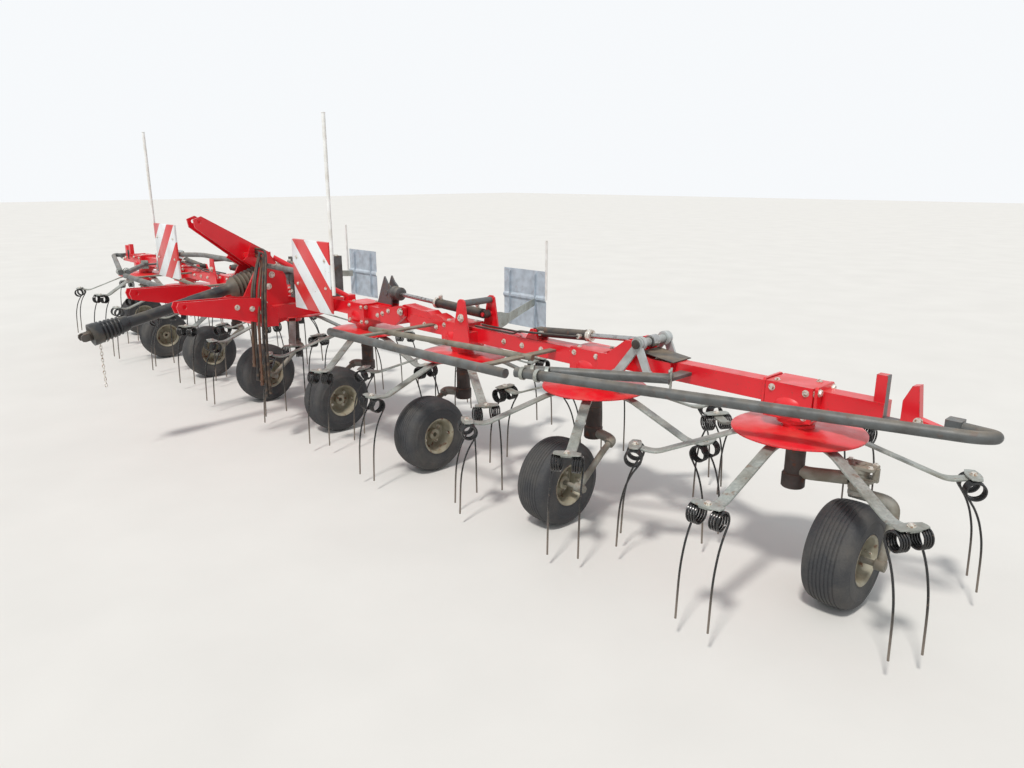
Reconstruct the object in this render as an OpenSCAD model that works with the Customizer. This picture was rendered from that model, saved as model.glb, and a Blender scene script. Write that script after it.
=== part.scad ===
// Mounted eight-rotor hay tedder, standing unfolded on its eight wheels.
// Millimetres. +X runs along the beam, -Y points at the tractor, Z is up, the ground is z = 0.
// Pieces are drawn with the beam line at y = 0 and the right-hand half at +x; placed() moves them home.

/* [Layout] */
// Distance between neighbouring rotors on the centre frame and inner wings
rotor_pitch = 1080; // [1060:5:1100]
// Distance from the last inner-wing rotor to the outer rotor
outer_pitch = 1140; // [1130:5:1160]
// Height of the beam's centre line
beam_z = 840; // [835:1:850]
// Beam line behind the middle of the machine's outline
beam_back = 365; // [350:5:380]

/* [Frame] */
// Height of the square main beams
beam_h = 90; // [84:2:94]
// Width of the main beams front to back
beam_w = 100; // [90:2:104]
// Outside diameter of the guard tubes
guard_d = 48; // [42:2:52]
// Outside diameter of the rotor masts
mast_d = 85; // [76:1:90]
// Distance between the centres of the two lower hitch pins
hitch_span = 825; // [815:5:835]

/* [Rotors] */
// Arms on each rotor
arms = 6; // [6:1:6]
// Radius of the circle the tine tips run in
tine_radius = 750; // [735:5:755]
// Diameter of the tine wire
wire_d = 9.5; // [8.5:0.5:10.5]
// Outside diameter of a tine coil
coil_d = 85; // [80:1:88]
// Diameter of the plate over each rotor
plate_d = 560; // [520:10:580]

/* [Wheels] */
// Outside diameter of the tyres
tyre_d = 457; // [445:2:465]
// Width of the tyres
tyre_w = 200; // [190:2:205]
// Diameter of the rims at the bead
rim_d = 205; // [200:1:215]

/* [Hidden] */
$fn = 48;
cord_sides = 10;

red = [0.72, 0.06, 0.07];
zinc = [0.66, 0.66, 0.62];
grey = [0.33, 0.34, 0.35];
black = [0.06, 0.06, 0.06];
white = [0.86, 0.86, 0.84];

// running clearance round a pin, and the gap kept between pieces that move past each other
pin_fit = 0.05;
gap = 5;

beam_top = beam_z + beam_h / 2;
beam_bottom = beam_z - beam_h / 2;

// the outer wings ride a little higher than the rest of the beam
tip_rise = 30;
tip_z = beam_z + tip_rise;
tip_w = 80;

// rotor axes: side, distance from the middle, lift, first arm's angle
R_SIDE = 0;
R_X = 1;
R_LIFT = 2;
R_PHASE = 3;
rotors = [
    [-1, 2.5 * rotor_pitch + outer_pitch, tip_rise, 0],
    [-1, 2.5 * rotor_pitch, 0, 30],
    [-1, 1.5 * rotor_pitch, 0, 0],
    [-1, 0.5 * rotor_pitch, 0, 30],
    [1, 0.5 * rotor_pitch, 0, 0],
    [1, 1.5 * rotor_pitch, 0, 30],
    [1, 2.5 * rotor_pitch, 0, 0],
    [1, 2.5 * rotor_pitch + outer_pitch, tip_rise, 30]];
mid_x = 0.5 * rotor_pitch;
inner_x = 1.5 * rotor_pitch;
outer_x = 2.5 * rotor_pitch;
tip_x = outer_x + outer_pitch;

// fold hinges, as [x, z]
lift_hinge = [rotor_pitch, beam_z + 60];
fold_hinge = [outer_x + 290, beam_z + 120];
hinge_pin_d = 30;
cheek_in = beam_w / 2 + gap;
cheek_t = 18;

// rotor drive: gearbox bottom, mast foot, plate height
box_bottom = beam_z - 95;
plate_z = beam_z - 150;
mast_foot = 450;
tip_mast_foot = tyre_d + 48;

// lift cylinder, as [x, z], in its own plane beside the catch bracket
cyl_y = 72;
lift_eye = [mid_x + 220, beam_z + 145];
lift_base = [inner_x + 137, beam_z + 110];
cyl_pin_d = 25;
lift_barrel_d = 60;
lift_rod_d = 30;
lift_barrel_l = 480;

// fold cylinder and knee links, as [x, z]
fold_base = [outer_x - 420, beam_z + 85];
knee = [outer_x + 360, beam_z + 150];
inner_foot = [outer_x + 220, beam_z - 28];
outer_foot = [outer_x + 430, beam_z + 5];
knee_d = 40;
fold_barrel_d = 56;
fold_rod_d = 28;
fold_barrel_l = 390;
tongue_w = 70;
inner_cheek = tongue_w + gap;
link_in = inner_cheek + cheek_t + gap;
link_t = 12;
link_out = link_in + link_t + 4;
// half the width of the slot through the fold hinge that the fold cylinder's rod works in
rod_slot = 30;
eye_w = 2 * rod_slot - 12;
fold_lug = fold_barrel_d / 2 + gap;

// catch pin on the ears, and the slot in the tip bracket that drops over it when folded
catch_pin = [inner_x + 137, beam_z + 195];
ear_in = 115;
ear_t = 12;
slot_x = 2 * fold_hinge[0] - catch_pin[0];

// wheels
axle_z = tyre_d / 2;
wheel_y = -280;
axle_d = 25;
leg_off = tyre_w / 2 + 48;
swivel_x = tip_x + 260;
swivel_y = 50;
tip_wheel_y = -10;

function mid(a, b) = (a + b) / 2;

module placed() translate([0, beam_back, 0]) children();
module right() placed() children();
module left() placed() mirror([1, 0, 0]) children();
module both() { children(); mirror([1, 0, 0]) children(); }
module front_back() { children(); mirror([0, 1, 0]) children(); }

// round bar from p to q
module rod(p, q, d) {
    v = q - p;
    l = norm(v);
    translate(p) rotate([0, acos(v[2] / l), atan2(v[1], v[0])]) cylinder(d = d, h = l);
}
// bent round tube through the points, with a ball a little fatter than the tube in each bend
module tube(points, d) {
    for (i = [0:len(points) - 2]) rod(points[i], points[i + 1], d);
    if (len(points) > 2) for (i = [1:len(points) - 2]) translate(points[i]) sphere(d = d * 1.045);
}
// plate lying in the xz plane, cut to outline, from y to y + t
module plate_y(outline, y, t) translate([0, y + t, 0]) rotate([90, 0, 0]) linear_extrude(t) polygon(outline);
// plate lying in the yz plane, from x to x + t
module plate_x(outline, x, t) translate([x, 0, 0]) rotate([90, 0, 90]) linear_extrude(t) polygon(outline);
// round pin along y through [x, z]
module pin_y(at, y0, y1, d) translate([at[0], y1, at[1]]) rotate([90, 0, 0]) cylinder(d = d, h = y1 - y0);
module pin_x(y, z, x0, x1, d) translate([x0, y, z]) rotate([0, 90, 0]) cylinder(d = d, h = x1 - x0);
module block(x0, x1, y0, y1, z0, z1) translate([x0, y0, z0]) cube([x1 - x0, y1 - y0, z1 - z0]);

// housing over a rotor: gear case on the beam with a round neck down to the mast
module gear_case(x, lift) translate([x, 0, lift]) {
    block(-105, 105, -85, 85, box_bottom, beam_top + 15);
    translate([0, 0, box_bottom - 22]) cylinder(d = 150, h = 23);
}

// round mast through the rotor, then a cast elbow that carries the bent wheel leg
module mast(foot, lift) translate([0, 0, foot]) cylinder(d = mast_d, h = box_bottom - 22 + lift - foot);
module fixed_leg(x, s) translate([x, 0, 0]) {
    mast(mast_foot, 0);
    translate([0, 0, mast_foot - 45]) cylinder(d = mast_d + 16, h = 60);
    rod([0, 0, mast_foot - 15], [s * (leg_off - 10), -20, mast_foot - 25], 52);
    translate([s * leg_off, 0, 0]) tube([[0, -20, mast_foot - 25], [0, -85, mast_foot - 60],
        [0, wheel_y, axle_z]], 32);
    pin_x(wheel_y, axle_z, s > 0 ? -40 : -leg_off - 26, s > 0 ? leg_off + 26 : 40, axle_d);
    pin_x(wheel_y, axle_z, s > 0 ? leg_off - 22 : -leg_off - 22, s > 0 ? leg_off + 22 : -leg_off + 22, 46);
}

// one rotor drawn on its own axis
arm_w = 50;
arm_t = 10;
coil_turns = 4;
coil_r = tine_radius - 55;
coil_z = plate_z - 188;
coil_off = 47;
kink_r = tine_radius - 150;
kink_z = plate_z - 160;
clamp_r = tine_radius - 30;
clamp_z = coil_z + coil_d / 2;
wire_r = coil_d / 2 - wire_d / 2;
coil_w = coil_turns * wire_d * 0.96;
// the tine's centre line below its coil: distance out from the coil's axis, height
tine_line = [[-15, coil_z - 32], [3, coil_z - 80], [22, coil_z - 150], [38, coil_z - 250], [tine_radius - coil_r, 62]];
module tine(y) {
    translate([coil_r, y + coil_w / 2, coil_z]) rotate([90, 0, 0]) rotate_extrude() polygon(concat(
        [[coil_d / 2 - wire_d * 1.4, coil_w], [coil_d / 2 - wire_d * 1.4, 0]],
        [for (k = [0:coil_turns - 1]) each [[coil_d / 2 - wire_d * 0.4, k * coil_w / coil_turns],
            [coil_d / 2, (k + 0.5) * coil_w / coil_turns]]],
        [[coil_d / 2 - wire_d * 0.4, coil_w]]));
    plate_y(concat([for (p = tine_line) [coil_r + p[0] - wire_d / 2, p[1]]],
        [for (i = [len(tine_line) - 1:-1:0]) [coil_r + tine_line[i][0] + wire_d / 2, tine_line[i][1]]]),
        y - wire_d / 2, wire_d);
}
module rotor(n) {
    r = rotors[n - 1];
    placed() translate([r[R_SIDE] * r[R_X], 0, r[R_LIFT]]) {
        difference() {
            union() {
                translate([0, 0, plate_z]) cylinder(d = plate_d, h = 6);
                translate([0, 0, plate_z - 14]) cylinder(d = 400, h = 14.5);
                translate([0, 0, plate_z - 70]) cylinder(d = mast_d + 50, h = box_bottom - 23 - plate_z + 70);
            }
            translate([0, 0, plate_z - 80]) cylinder(d = mast_d + 2 * pin_fit, h = 140);
        }
        for (a = [0:arms - 1]) rotate([0, 0, r[R_PHASE] + a * 360 / arms]) {
            plate_y([[120, plate_z - 13], [120, plate_z - 13 - arm_t], [250, plate_z - 13 - arm_t - 12],
                [kink_r, kink_z - arm_t], [clamp_r, clamp_z - arm_t / 2], [clamp_r, clamp_z + arm_t / 2],
                [kink_r - 4, kink_z], [252, plate_z - 25]], -arm_w / 2, arm_w);
            block(coil_r - 22, coil_r + 22, -coil_off - 20, coil_off + 20, clamp_z - 8, clamp_z + 5);
            tine(-coil_off);
            tine(coil_off);
        }
    }
}

// wheels: x of the wheel, y of its axle
function wheel_at(n) = let (r = rotors[n - 1])
    (n == 1 || n == 8) ? [r[R_SIDE] * swivel_x, tip_wheel_y] : [r[R_SIDE] * r[R_X], wheel_y];
module tyre(n) placed() translate([wheel_at(n)[0], wheel_at(n)[1], axle_z]) rotate([0, 90, 0]) rotate_extrude($fn = 64)
    polygon([[rim_d / 2, -tyre_w / 2 + 14], [rim_d / 2 + 14, -tyre_w / 2 + 6], [tyre_d / 2 - 62, -tyre_w / 2],
        [tyre_d / 2 - 24, -tyre_w / 2 + 8], [tyre_d / 2 - 6, -tyre_w / 2 + 28], [tyre_d / 2, -tyre_w / 2 + 50],
        [tyre_d / 2, tyre_w / 2 - 50], [tyre_d / 2 - 6, tyre_w / 2 - 28], [tyre_d / 2 - 24, tyre_w / 2 - 8],
        [tyre_d / 2 - 62, tyre_w / 2], [rim_d / 2 + 14, tyre_w / 2 - 6], [rim_d / 2, tyre_w / 2 - 14]]);
module rim(n) placed() translate([wheel_at(n)[0], wheel_at(n)[1], axle_z]) rotate([0, 90, 0])
    difference() {
        union() {
            rotate_extrude($fn = 64) polygon([[rim_d / 2 - 6, -tyre_w / 2 + 14], [rim_d / 2, -tyre_w / 2 + 14],
                [rim_d / 2, tyre_w / 2 - 14], [rim_d / 2 - 6, tyre_w / 2 - 14], [rim_d / 2 - 6, 6], [30, 6],
                [30, -6], [rim_d / 2 - 6, -6]]);
            translate([0, 0, -48]) cylinder(d = 72, h = 96);
        }
        translate([0, 0, -60]) cylinder(d = axle_d + 2 * pin_fit, h = 120);
    }

// root: centre beam with its gear cases, hinge cheeks, hinge pins and lock brackets
module centre_frame() {
    end = lift_hinge[0] - 60;
    placed() color(red) {
        difference() {
            block(-end + 30, end - 30, -beam_w / 2, beam_w / 2, beam_bottom, beam_top);
            block(-end, -end + 60, -beam_w, beam_w, 0, 1);
        }
        both() {
            gear_case(mid_x, 0);
            front_back() plate_y([[end - 190, beam_bottom], [end - 20, beam_bottom], [lift_hinge[0] + 34, lift_hinge[1] - 30],
                [lift_hinge[0] + 34, lift_hinge[1] + 26], [lift_hinge[0] - 30, lift_hinge[1] + 34], [end - 190, beam_top]],
                beam_w / 2, cheek_t + gap);
            // lock bracket: two pointed plates either side of the cylinder's eye
            for (y = [cyl_y - 36, cyl_y + 24]) plate_y([[lift_eye[0] - 130, beam_top - 20], [lift_eye[0] - 60, beam_z + 175],
                [lift_eye[0] - 20, beam_z + 255], [lift_eye[0] + 10, beam_z + 215], [lift_eye[0] + 45, beam_z + 190],
                [lift_eye[0] + 60, beam_z + 140], [lift_eye[0] + 40, beam_top - 20]], y, 12);
            block(lift_eye[0] - 130, lift_eye[0] + 40, 0, cyl_y + 36, beam_top - 20, beam_top + 2);
            for (y = [cyl_y - 42, cyl_y + 24]) pin_y(lift_eye, y, y + 18, cyl_pin_d + 14);
            pin_y(lift_hinge, -cheek_in - cheek_t - 8, cheek_in + cheek_t + 8, hinge_pin_d);
        }
    }
}

// headstock: two body plates either side of the drive shaft, the top link arm, and the lower hitch arms
body_x = 130;
body_t = 14;
hitch_y = -1255;
hitch_z = beam_z + 150;
top_y = -945;
top_z = beam_z + 640;
hitch_pin_d = 28;
top_pin_d = 25;
cross_y = -700;
module headstock() placed() color(red) {
    both() {
        plate_x([[-430, beam_z - 80], [-520, beam_z - 100], [cross_y - 40, beam_z - 10], [-730, beam_z + 115],
            [-615, beam_z + 315], [-700, beam_z + 375], [-670, beam_z + 400], [-640, beam_z + 490],
            [-520, beam_z + 425], [-400, beam_z + 250], [-380, beam_z - 40]], body_x, body_t);
        // long rail back to the beam
        block(body_x + body_t, body_x + body_t + 70, cross_y, -beam_w / 2, beam_bottom, beam_top);
        // lower hitch arm: two plates bored for the lower link's pin
        difference() {
            for (x = [hitch_span / 2 - 45, hitch_span / 2 + 33]) plate_x([[cross_y + 60, beam_bottom - 5],
            [-840, beam_z + 10], [-1000, beam_z + 45], [hitch_y - 35, hitch_z - 42], [hitch_y - 48, hitch_z],
            [hitch_y - 35, hitch_z + 30], [-900, hitch_z + 20], [cross_y - 60, hitch_z + 5], [cross_y + 60, beam_top + 20]],
                x, 12);
            pin_x(hitch_y, hitch_z, hitch_span / 2 - 60, hitch_span / 2 + 60, hitch_pin_d + 2 * pin_fit);
        }
        // stay from the mast to a lug on the beam
        rod([body_x + 7, -480, beam_z + 380], [mid_x - 200, 0, beam_top + 22], 36);
        block(mid_x - 232, mid_x - 168, -30, 30, beam_top, beam_top + 44);
    }
    block(-hitch_span / 2 - 45, hitch_span / 2 + 45, cross_y - 50, cross_y + 50, beam_bottom, beam_top + 5);
    // top link arm
    difference() {
        for (x = [-58, 46]) plate_x([[-500, beam_z + 385], [-520, beam_z + 440], [-930, beam_z + 675],
            [-985, beam_z + 655], [-975, beam_z + 600], [-620, beam_z + 320], [-560, beam_z + 330]], x, 12);
        pin_x(top_y, top_z, -80, 80, top_pin_d + 2 * pin_fit);
    }
    plate_x([[-520, beam_z + 395], [-535, beam_z + 430], [-860, beam_z + 615], [-880, beam_z + 560], [-620, beam_z + 350]],
        -50, 100);
    block(-body_x - body_t, body_x + body_t, -660, -500, beam_z + 385, beam_z + 420);
}

// drive gearbox on the beam, with the input stub towards the tractor
input_z = beam_z + 250;
module drive_gearbox() placed() color(grey) {
    block(-115, 115, -230, 90, beam_top, beam_z + 350);
    translate([0, -230, input_z]) rotate([90, 0, 0]) cylinder(d = 150, h = 60);
    translate([0, -290, input_z]) rotate([90, 0, 0]) cylinder(d = 35, h = 110);
}

// drive shaft: machine-end cone, guard tube and tractor-end cone, tilted down to the parked end
pto_end = [0, -1740, beam_z - 45];
pto_start = [0, -400, input_z];
module pto_shaft() placed() color(black) {
    v = pto_end - pto_start;
    l = norm(v);
    // yoke slid onto the gearbox's stub
    difference() {
        translate([0, -355, input_z]) rotate([90, 0, 0]) cylinder(d = 64, h = 75);
        translate([0, -340, input_z]) rotate([90, 0, 0]) cylinder(d = 35 + 2 * pin_fit, h = 60);
    }
    translate(pto_start) rotate([90 + atan2(-v[2], -v[1]), 0, 0]) {
        translate([0, 0, 6]) cylinder(d = 76, h = 120);
        rotate_extrude() polygon([[30, 80], [96, 40], [100, 52], [88, 62], [97, 76], [84, 86], [92, 100], [78, 112],
            [86, 126], [72, 138], [80, 152], [66, 164], [74, 178], [60, 190], [60, 260], [36, 280], [36, l - 240],
            [52, l - 230], [56, l - 120], [70, l - 100], [70, l - 60], [30, l - 60]]);
        difference() {
            translate([0, 0, l - 110]) cylinder(d = 62, h = 110);
            translate([0, 0, l - 80]) cylinder(d = 35, h = 100);
        }
    }
}

// front warning boards with their arms and the tall marker poles
board = 423;
board_x = mid_x + 580;
board_y = -750;
board_low = beam_z + 145;
pole_top = beam_z + 1270;
module front_boards() placed() color(white) both() {
    block(board_x - board / 2, board_x + board / 2, board_y, board_y + 4, board_low, board_low + board);
    tube([[body_x + body_t, -600, beam_z + 340], [board_x - board / 2 - 120, -600, beam_z + 340],
        [board_x - board / 2 + 20, board_y + 19, beam_z + 340], [board_x - 60, board_y + 19, beam_z + 340]], 36);
    rod([board_x + board / 2 + 16, board_y + 13, board_low + 120], [board_x + board / 2 + 16, board_y + 13, pole_top], 20);
    block(board_x + board / 2 - 60, board_x + board / 2 + 18, board_y + 3, board_y + 12, board_low + 300, board_low + 330);
    block(board_x + board / 2 - 60, board_x + board / 2 + 18, board_y + 3, board_y + 12, board_low + 140, board_low + 170);
}

module centre_legs() placed() color(grey) both() fixed_leg(mid_x, -1);

// hoses: leave the headstock's plate sideways, cross over the board arm and hang down outside the hitch arm
hose_d = 18;
hose_path = [[body_x + body_t, -610, beam_z + 422], [218, -610, beam_z + 422], [290, -628, beam_z + 414], [352, -658, beam_z + 378],
    [406, -696, beam_z + 312], [448, -730, beam_z + 222], [474, -754, beam_z + 112], [488, -768, beam_z], [494, -776, beam_z - 120],
    [497, -781, beam_z - 240], [499, -784, beam_z - 360], [500, -785, beam_z - 470]];
module hose(points, d) {
    n = len(points);
    rings = [for (i = [0:n - 1]) let (
        a = points[max(i - 1, 0)], b = points[min(i + 1, n - 1)], t = (b - a) / norm(b - a),
        u = cross(t, [0, 1, 0]) / norm(cross(t, [0, 1, 0])), w = cross(t, u))
        [for (k = [0:cord_sides - 1]) let (g = 360 * k / cord_sides) points[i] + d / 2 * (u * cos(g) + w * sin(g))]];
    polyhedron(points = [for (r = rings) for (p = r) p],
        faces = concat([[for (k = [0:cord_sides - 1]) k]],
            [for (i = [0:n - 2]) for (k = [0:cord_sides - 1]) let (k1 = (k + 1) % cord_sides)
                [i * cord_sides + k, (i + 1) * cord_sides + k, (i + 1) * cord_sides + k1, i * cord_sides + k1]],
            [[for (k = [cord_sides - 1:-1:0]) (n - 1) * cord_sides + k]]));
}
module hoses() placed() color(black) hose(hose_path, hose_d);

// inner wing: cast inner end with humps, beam, gear cases, ears, and the cheeks of the fold hinge
module wing_beam() color(red) {
    difference() {
        union() {
            block(lift_hinge[0] + 60, fold_hinge[0] - 150, -beam_w / 2, beam_w / 2, beam_bottom, beam_top);
            plate_y([[lift_hinge[0] + 5, lift_hinge[1] - 42], [lift_hinge[0] + 120, beam_bottom], [inner_x - 100, beam_bottom],
                [inner_x - 100, beam_top], [inner_x - 160, beam_top + 22], [inner_x - 210, beam_top + 34],
                [inner_x - 250, beam_top + 20], [inner_x - 290, beam_top + 42], [inner_x - 350, beam_top + 40],
                [lift_hinge[0] + 5, lift_hinge[1] + 42]], gap - beam_w / 2, beam_w - 2 * gap);
            pin_y(lift_hinge, gap - beam_w / 2, beam_w / 2 - gap, 86);
            gear_case(inner_x, 0);
            gear_case(outer_x, 0);
            // ears on a cross box
            block(catch_pin[0] - 60, catch_pin[0] + 60, -ear_in, ear_in, beam_bottom, beam_z + 25);
            front_back() plate_y([[catch_pin[0] - 85, beam_bottom], [catch_pin[0] + 75, beam_bottom],
                [catch_pin[0] + 30, catch_pin[1] + 15], [catch_pin[0] + 12, catch_pin[1] + 27],
                [catch_pin[0] - 12, catch_pin[1] + 27], [catch_pin[0] - 30, catch_pin[1] + 15]], ear_in, ear_t);
            pin_y(catch_pin, -ear_in - ear_t, ear_in + ear_t, 40);
            pin_y(lift_base, cyl_y - 30, ear_in + ear_t, cyl_pin_d);
            // lug for the fold cylinder
            front_back() plate_y([[fold_base[0] - 60, beam_top - 5], [fold_base[0] - 18, fold_base[1] + 20],
                [fold_base[0] + 18, fold_base[1] + 20], [fold_base[0] + 40, beam_top - 5]], fold_lug, 12);
            pin_y(fold_base, -fold_lug - 18, fold_lug + 18, cyl_pin_d);
            // fold hinge cheeks
            front_back() plate_y([[outer_x + 90, beam_bottom - 5], [inner_foot[0] + 30, beam_bottom - 5],
                [inner_foot[0] + 40, beam_z], [fold_hinge[0] + 36, fold_hinge[1] - 20], [fold_hinge[0] + 20, fold_hinge[1] + 32],
                [fold_hinge[0] - 25, fold_hinge[1] + 32], [outer_x + 150, beam_top + 20], [outer_x + 90, beam_top + 15]],
                inner_cheek, cheek_t);
            block(outer_x + 90, outer_x + 140, -inner_cheek - 1, inner_cheek + 1, beam_bottom - 5, beam_top);
            front_back() pin_y(fold_hinge, rod_slot, inner_cheek + cheek_t, 34);
            front_back() pin_y(inner_foot, inner_cheek, link_in + link_t + 3, cyl_pin_d);
        }
        pin_y(lift_hinge, -beam_w, beam_w, hinge_pin_d + 2 * pin_fit);
    }
}
guard_z = beam_z + 12;
module wing_guard() color(grey) {
    tube([[lift_hinge[0] + 60, -655, guard_z], [outer_x - 60, -600, guard_z]], guard_d);
    for (x = [inner_x - 230, outer_x - 260]) block(x - 25, x + 25, -630, -beam_w / 2, guard_z - 6, guard_z + 6);
    rod([lift_hinge[0] + 160, -430, guard_z], [outer_x - 200, -270, guard_z], 34);
}
module wing_legs() color(grey) {
    fixed_leg(inner_x, -1);
    fixed_leg(outer_x, 1);
}
rear_x = mid_x + 560;
rear_y = 1070;
module rear_board() color(zinc) {
    block(rear_x - 225, rear_x + 225, rear_y, rear_y + 6, beam_z - 190, beam_z + 250);
    for (x = [rear_x - 150, rear_x + 120]) block(x, x + 30, rear_y - 24, rear_y, beam_z - 180, beam_z + 240);
    block(catch_pin[0] - 45, catch_pin[0] + 45, ear_in + ear_t, ear_in + ear_t + 24, beam_z + 20, beam_z + 100);
    tube([[catch_pin[0], ear_in + ear_t + 16, beam_z + 60], [catch_pin[0] - 60, 300, beam_z + 40],
        [rear_x + 135, rear_y - 30, beam_z + 20]], 50);
    rod([rear_x + 240, rear_y - 14, beam_z + 40], [rear_x + 240, rear_y - 14, beam_z + 480], 16);
    block(rear_x + 140, rear_x + 242, rear_y - 24, rear_y - 4, beam_z + 60, beam_z + 90);
}

// outer wing: tongue, box beam, gear case, and the catch bracket on its end
module tip_beam() color(red) {
    difference() {
        union() {
            pin_y(fold_hinge, -tongue_w, tongue_w, 76);
            plate_y([[fold_hinge[0] - 20, fold_hinge[1] - 34], [fold_hinge[0] + 34, fold_hinge[1] - 20],
                [fold_hinge[0] + 110, tip_z + 45], [fold_hinge[0] + 230, tip_z + 45], [fold_hinge[0] + 230, tip_z - 45],
                [fold_hinge[0] + 90, tip_z - 65]], -tongue_w, 2 * tongue_w);
            block(fold_hinge[0] + 220, tip_x, -tip_w / 2, tip_w / 2, tip_z - 45, tip_z + 45);
            gear_case(tip_x - 20, tip_rise);
            block(tip_x, slot_x - 32, -tip_w / 2, tip_w / 2, tip_z - 45, tip_z + 45);
            // catch bracket
            plate_y([[slot_x - 75, tip_z - 45], [slot_x + 190, tip_z - 45], [slot_x + 190, tip_z - 12], [slot_x + 100, tip_z + 10],
                [slot_x + 85, tip_z + 138], [slot_x + 60, tip_z + 133], [slot_x + 32, tip_z + 70], [slot_x + 32, tip_z - 15],
                [slot_x - 32, tip_z - 15], [slot_x - 32, tip_z + 155], [slot_x - 75, tip_z + 155]], -35, 40);
            front_back() pin_y(outer_foot, tongue_w - 1, link_out + link_t + 3, cyl_pin_d);
        }
        pin_y(fold_hinge, -2 * tongue_w, 2 * tongue_w, 34 + 2 * pin_fit);
        block(fold_hinge[0] - 60, fold_hinge[0] + 64, -rod_slot, rod_slot, tip_z - 120, fold_hinge[1] + 60);
    }
}
tip_guard_z = tip_z + 5;
module tip_guard() color(grey) {
    tube([[outer_x + 20, -610, tip_guard_z], [tip_x + 700, -100, tip_guard_z], [tip_x + 765, -40, tip_guard_z],
        [slot_x + 230, -18, tip_guard_z]], guard_d);
    block(slot_x + 190, slot_x + 246, -48, 12, tip_guard_z - 30, tip_guard_z + 30);
    rod([outer_x + 20, -550, tip_guard_z], [outer_x + 600, -190, tip_guard_z], guard_d);
    block(outer_x + 560, outer_x + 620, -230, -tip_w / 2, tip_guard_z - 8, tip_guard_z + 8);
    for (x = [outer_x + 60, outer_x + 130]) block(x, x + 20, -645, -490, tip_guard_z - 27, tip_guard_z + 27);
}
module tip_mast() color(grey) {
    translate([tip_x, 0, 0]) {
        mast(tip_mast_foot, tip_rise);
        translate([0, 0, tip_mast_foot - 10]) cylinder(d = mast_d + 14, h = 60);
    }
    difference() {
        union() {
            rod([tip_x, 0, tip_mast_foot + 22], [swivel_x, swivel_y, tip_mast_foot + 40], 56);
            translate([swivel_x, swivel_y, tip_mast_foot]) cylinder(d = 84, h = 112);
        }
        translate([swivel_x, swivel_y, tip_mast_foot - 1]) cylinder(d = 40 + 2 * pin_fit, h = 114);
    }
}
module swivel_fork() color(grey) {
    top = tip_mast_foot - 1;
    translate([swivel_x, swivel_y, top]) cylinder(d = 40, h = 118);
    translate([swivel_x, swivel_y, top - 24]) cylinder(d = 80, h = 24);
    block(swivel_x - 30, swivel_x + leg_off + 10, swivel_y - 30, swivel_y + 30, top - 28, top - 4);
    translate([swivel_x + leg_off, 0, 0]) tube([[0, swivel_y, top - 16], [0, swivel_y, top - 90], [0, tip_wheel_y, axle_z]], 34);
    pin_x(tip_wheel_y, axle_z, swivel_x - 40, swivel_x + leg_off + 22, axle_d);
    pin_x(tip_wheel_y, axle_z, swivel_x + leg_off - 22, swivel_x + leg_off + 22, 46);
}

// a cylinder drawn in the xz plane from its base pin towards its rod's eye, at its own y
function ang(a, b) = atan2(b[1] - a[1], b[0] - a[0]);
function len2(a, b) = norm(b - a);
module from_base(base, eye, y) translate([base[0], y, base[1]]) rotate([0, -ang(base, eye), 0]) children();
module barrel(l, d, w, rod_d) difference() {
    union() {
        translate([0, w / 2, 0]) rotate([90, 0, 0]) cylinder(d = 50, h = w);
        translate([20, 0, 0]) rotate([0, 90, 0]) cylinder(d = d, h = l - 20);
        translate([l - 34, 0, 0]) rotate([0, 90, 0]) cylinder(d = d + 6, h = 34);
    }
    translate([0, w, 0]) rotate([90, 0, 0]) cylinder(d = cyl_pin_d + 2 * pin_fit, h = 2 * w);
    translate([40, 0, 0]) rotate([0, 90, 0]) cylinder(d = rod_d + 2 * pin_fit, h = l);
}
// the rod's eye is the open pivot: its middle stretch of pin stays in it, clear of the cheeks on either side
module ram(total, back, w, rod_d, eye_d) {
    translate([back, 0, 0]) rotate([0, 90, 0]) cylinder(d = rod_d, h = total - back - eye_d / 2 + 6);
    translate([total, w / 2, 0]) rotate([90, 0, 0]) cylinder(d = eye_d, h = w);
}
lift_l = len2(lift_base, lift_eye);
fold_l = len2(fold_base, knee);
module lift_barrel() color(black) from_base(lift_base, lift_eye, cyl_y) barrel(lift_barrel_l, lift_barrel_d, 44, lift_rod_d);
module lift_rod() color(zinc) from_base(lift_base, lift_eye, cyl_y)
    ram(lift_l, lift_barrel_l - 60, 38, lift_rod_d, 50);
module fold_barrel() color(black) from_base(fold_base, knee, 0)
    barrel(fold_barrel_l, fold_barrel_d, fold_barrel_d, fold_rod_d);
module fold_rod() color(zinc) from_base(fold_base, knee, 0)
    ram(fold_l, fold_barrel_l - 22, eye_w, fold_rod_d, 60);

// knee links: the inner pair carries the knee pin, the outer pair turns on it
module link_plate(a, b, y, d_a, d_b) {
    n = [a[1] - b[1], b[0] - a[0]] / len2(a, b) * 21;
    translate([0, y + link_t, 0]) rotate([90, 0, 0]) linear_extrude(link_t) difference() {
        union() {
            translate(a) circle(d = 56);
            translate(b) circle(d = 66);
            polygon([a + n, a - n, b - n, b + n]);
        }
        translate(a) circle(d = d_a);
        if (d_b > 0) translate(b) circle(d = d_b);
    }
}
module inner_link() color(zinc) {
    front_back() link_plate(inner_foot, knee, link_in, cyl_pin_d + 2 * pin_fit, 0);
    front_back() pin_y(knee, rod_slot, link_in + 1, knee_d);
}
module outer_link() color(zinc) front_back() {
    link_plate(outer_foot, knee, link_out, cyl_pin_d + 2 * pin_fit, 0);
    pin_y(knee, link_out + link_t - 1, link_out + link_t + 10, knee_d);
}

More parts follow.
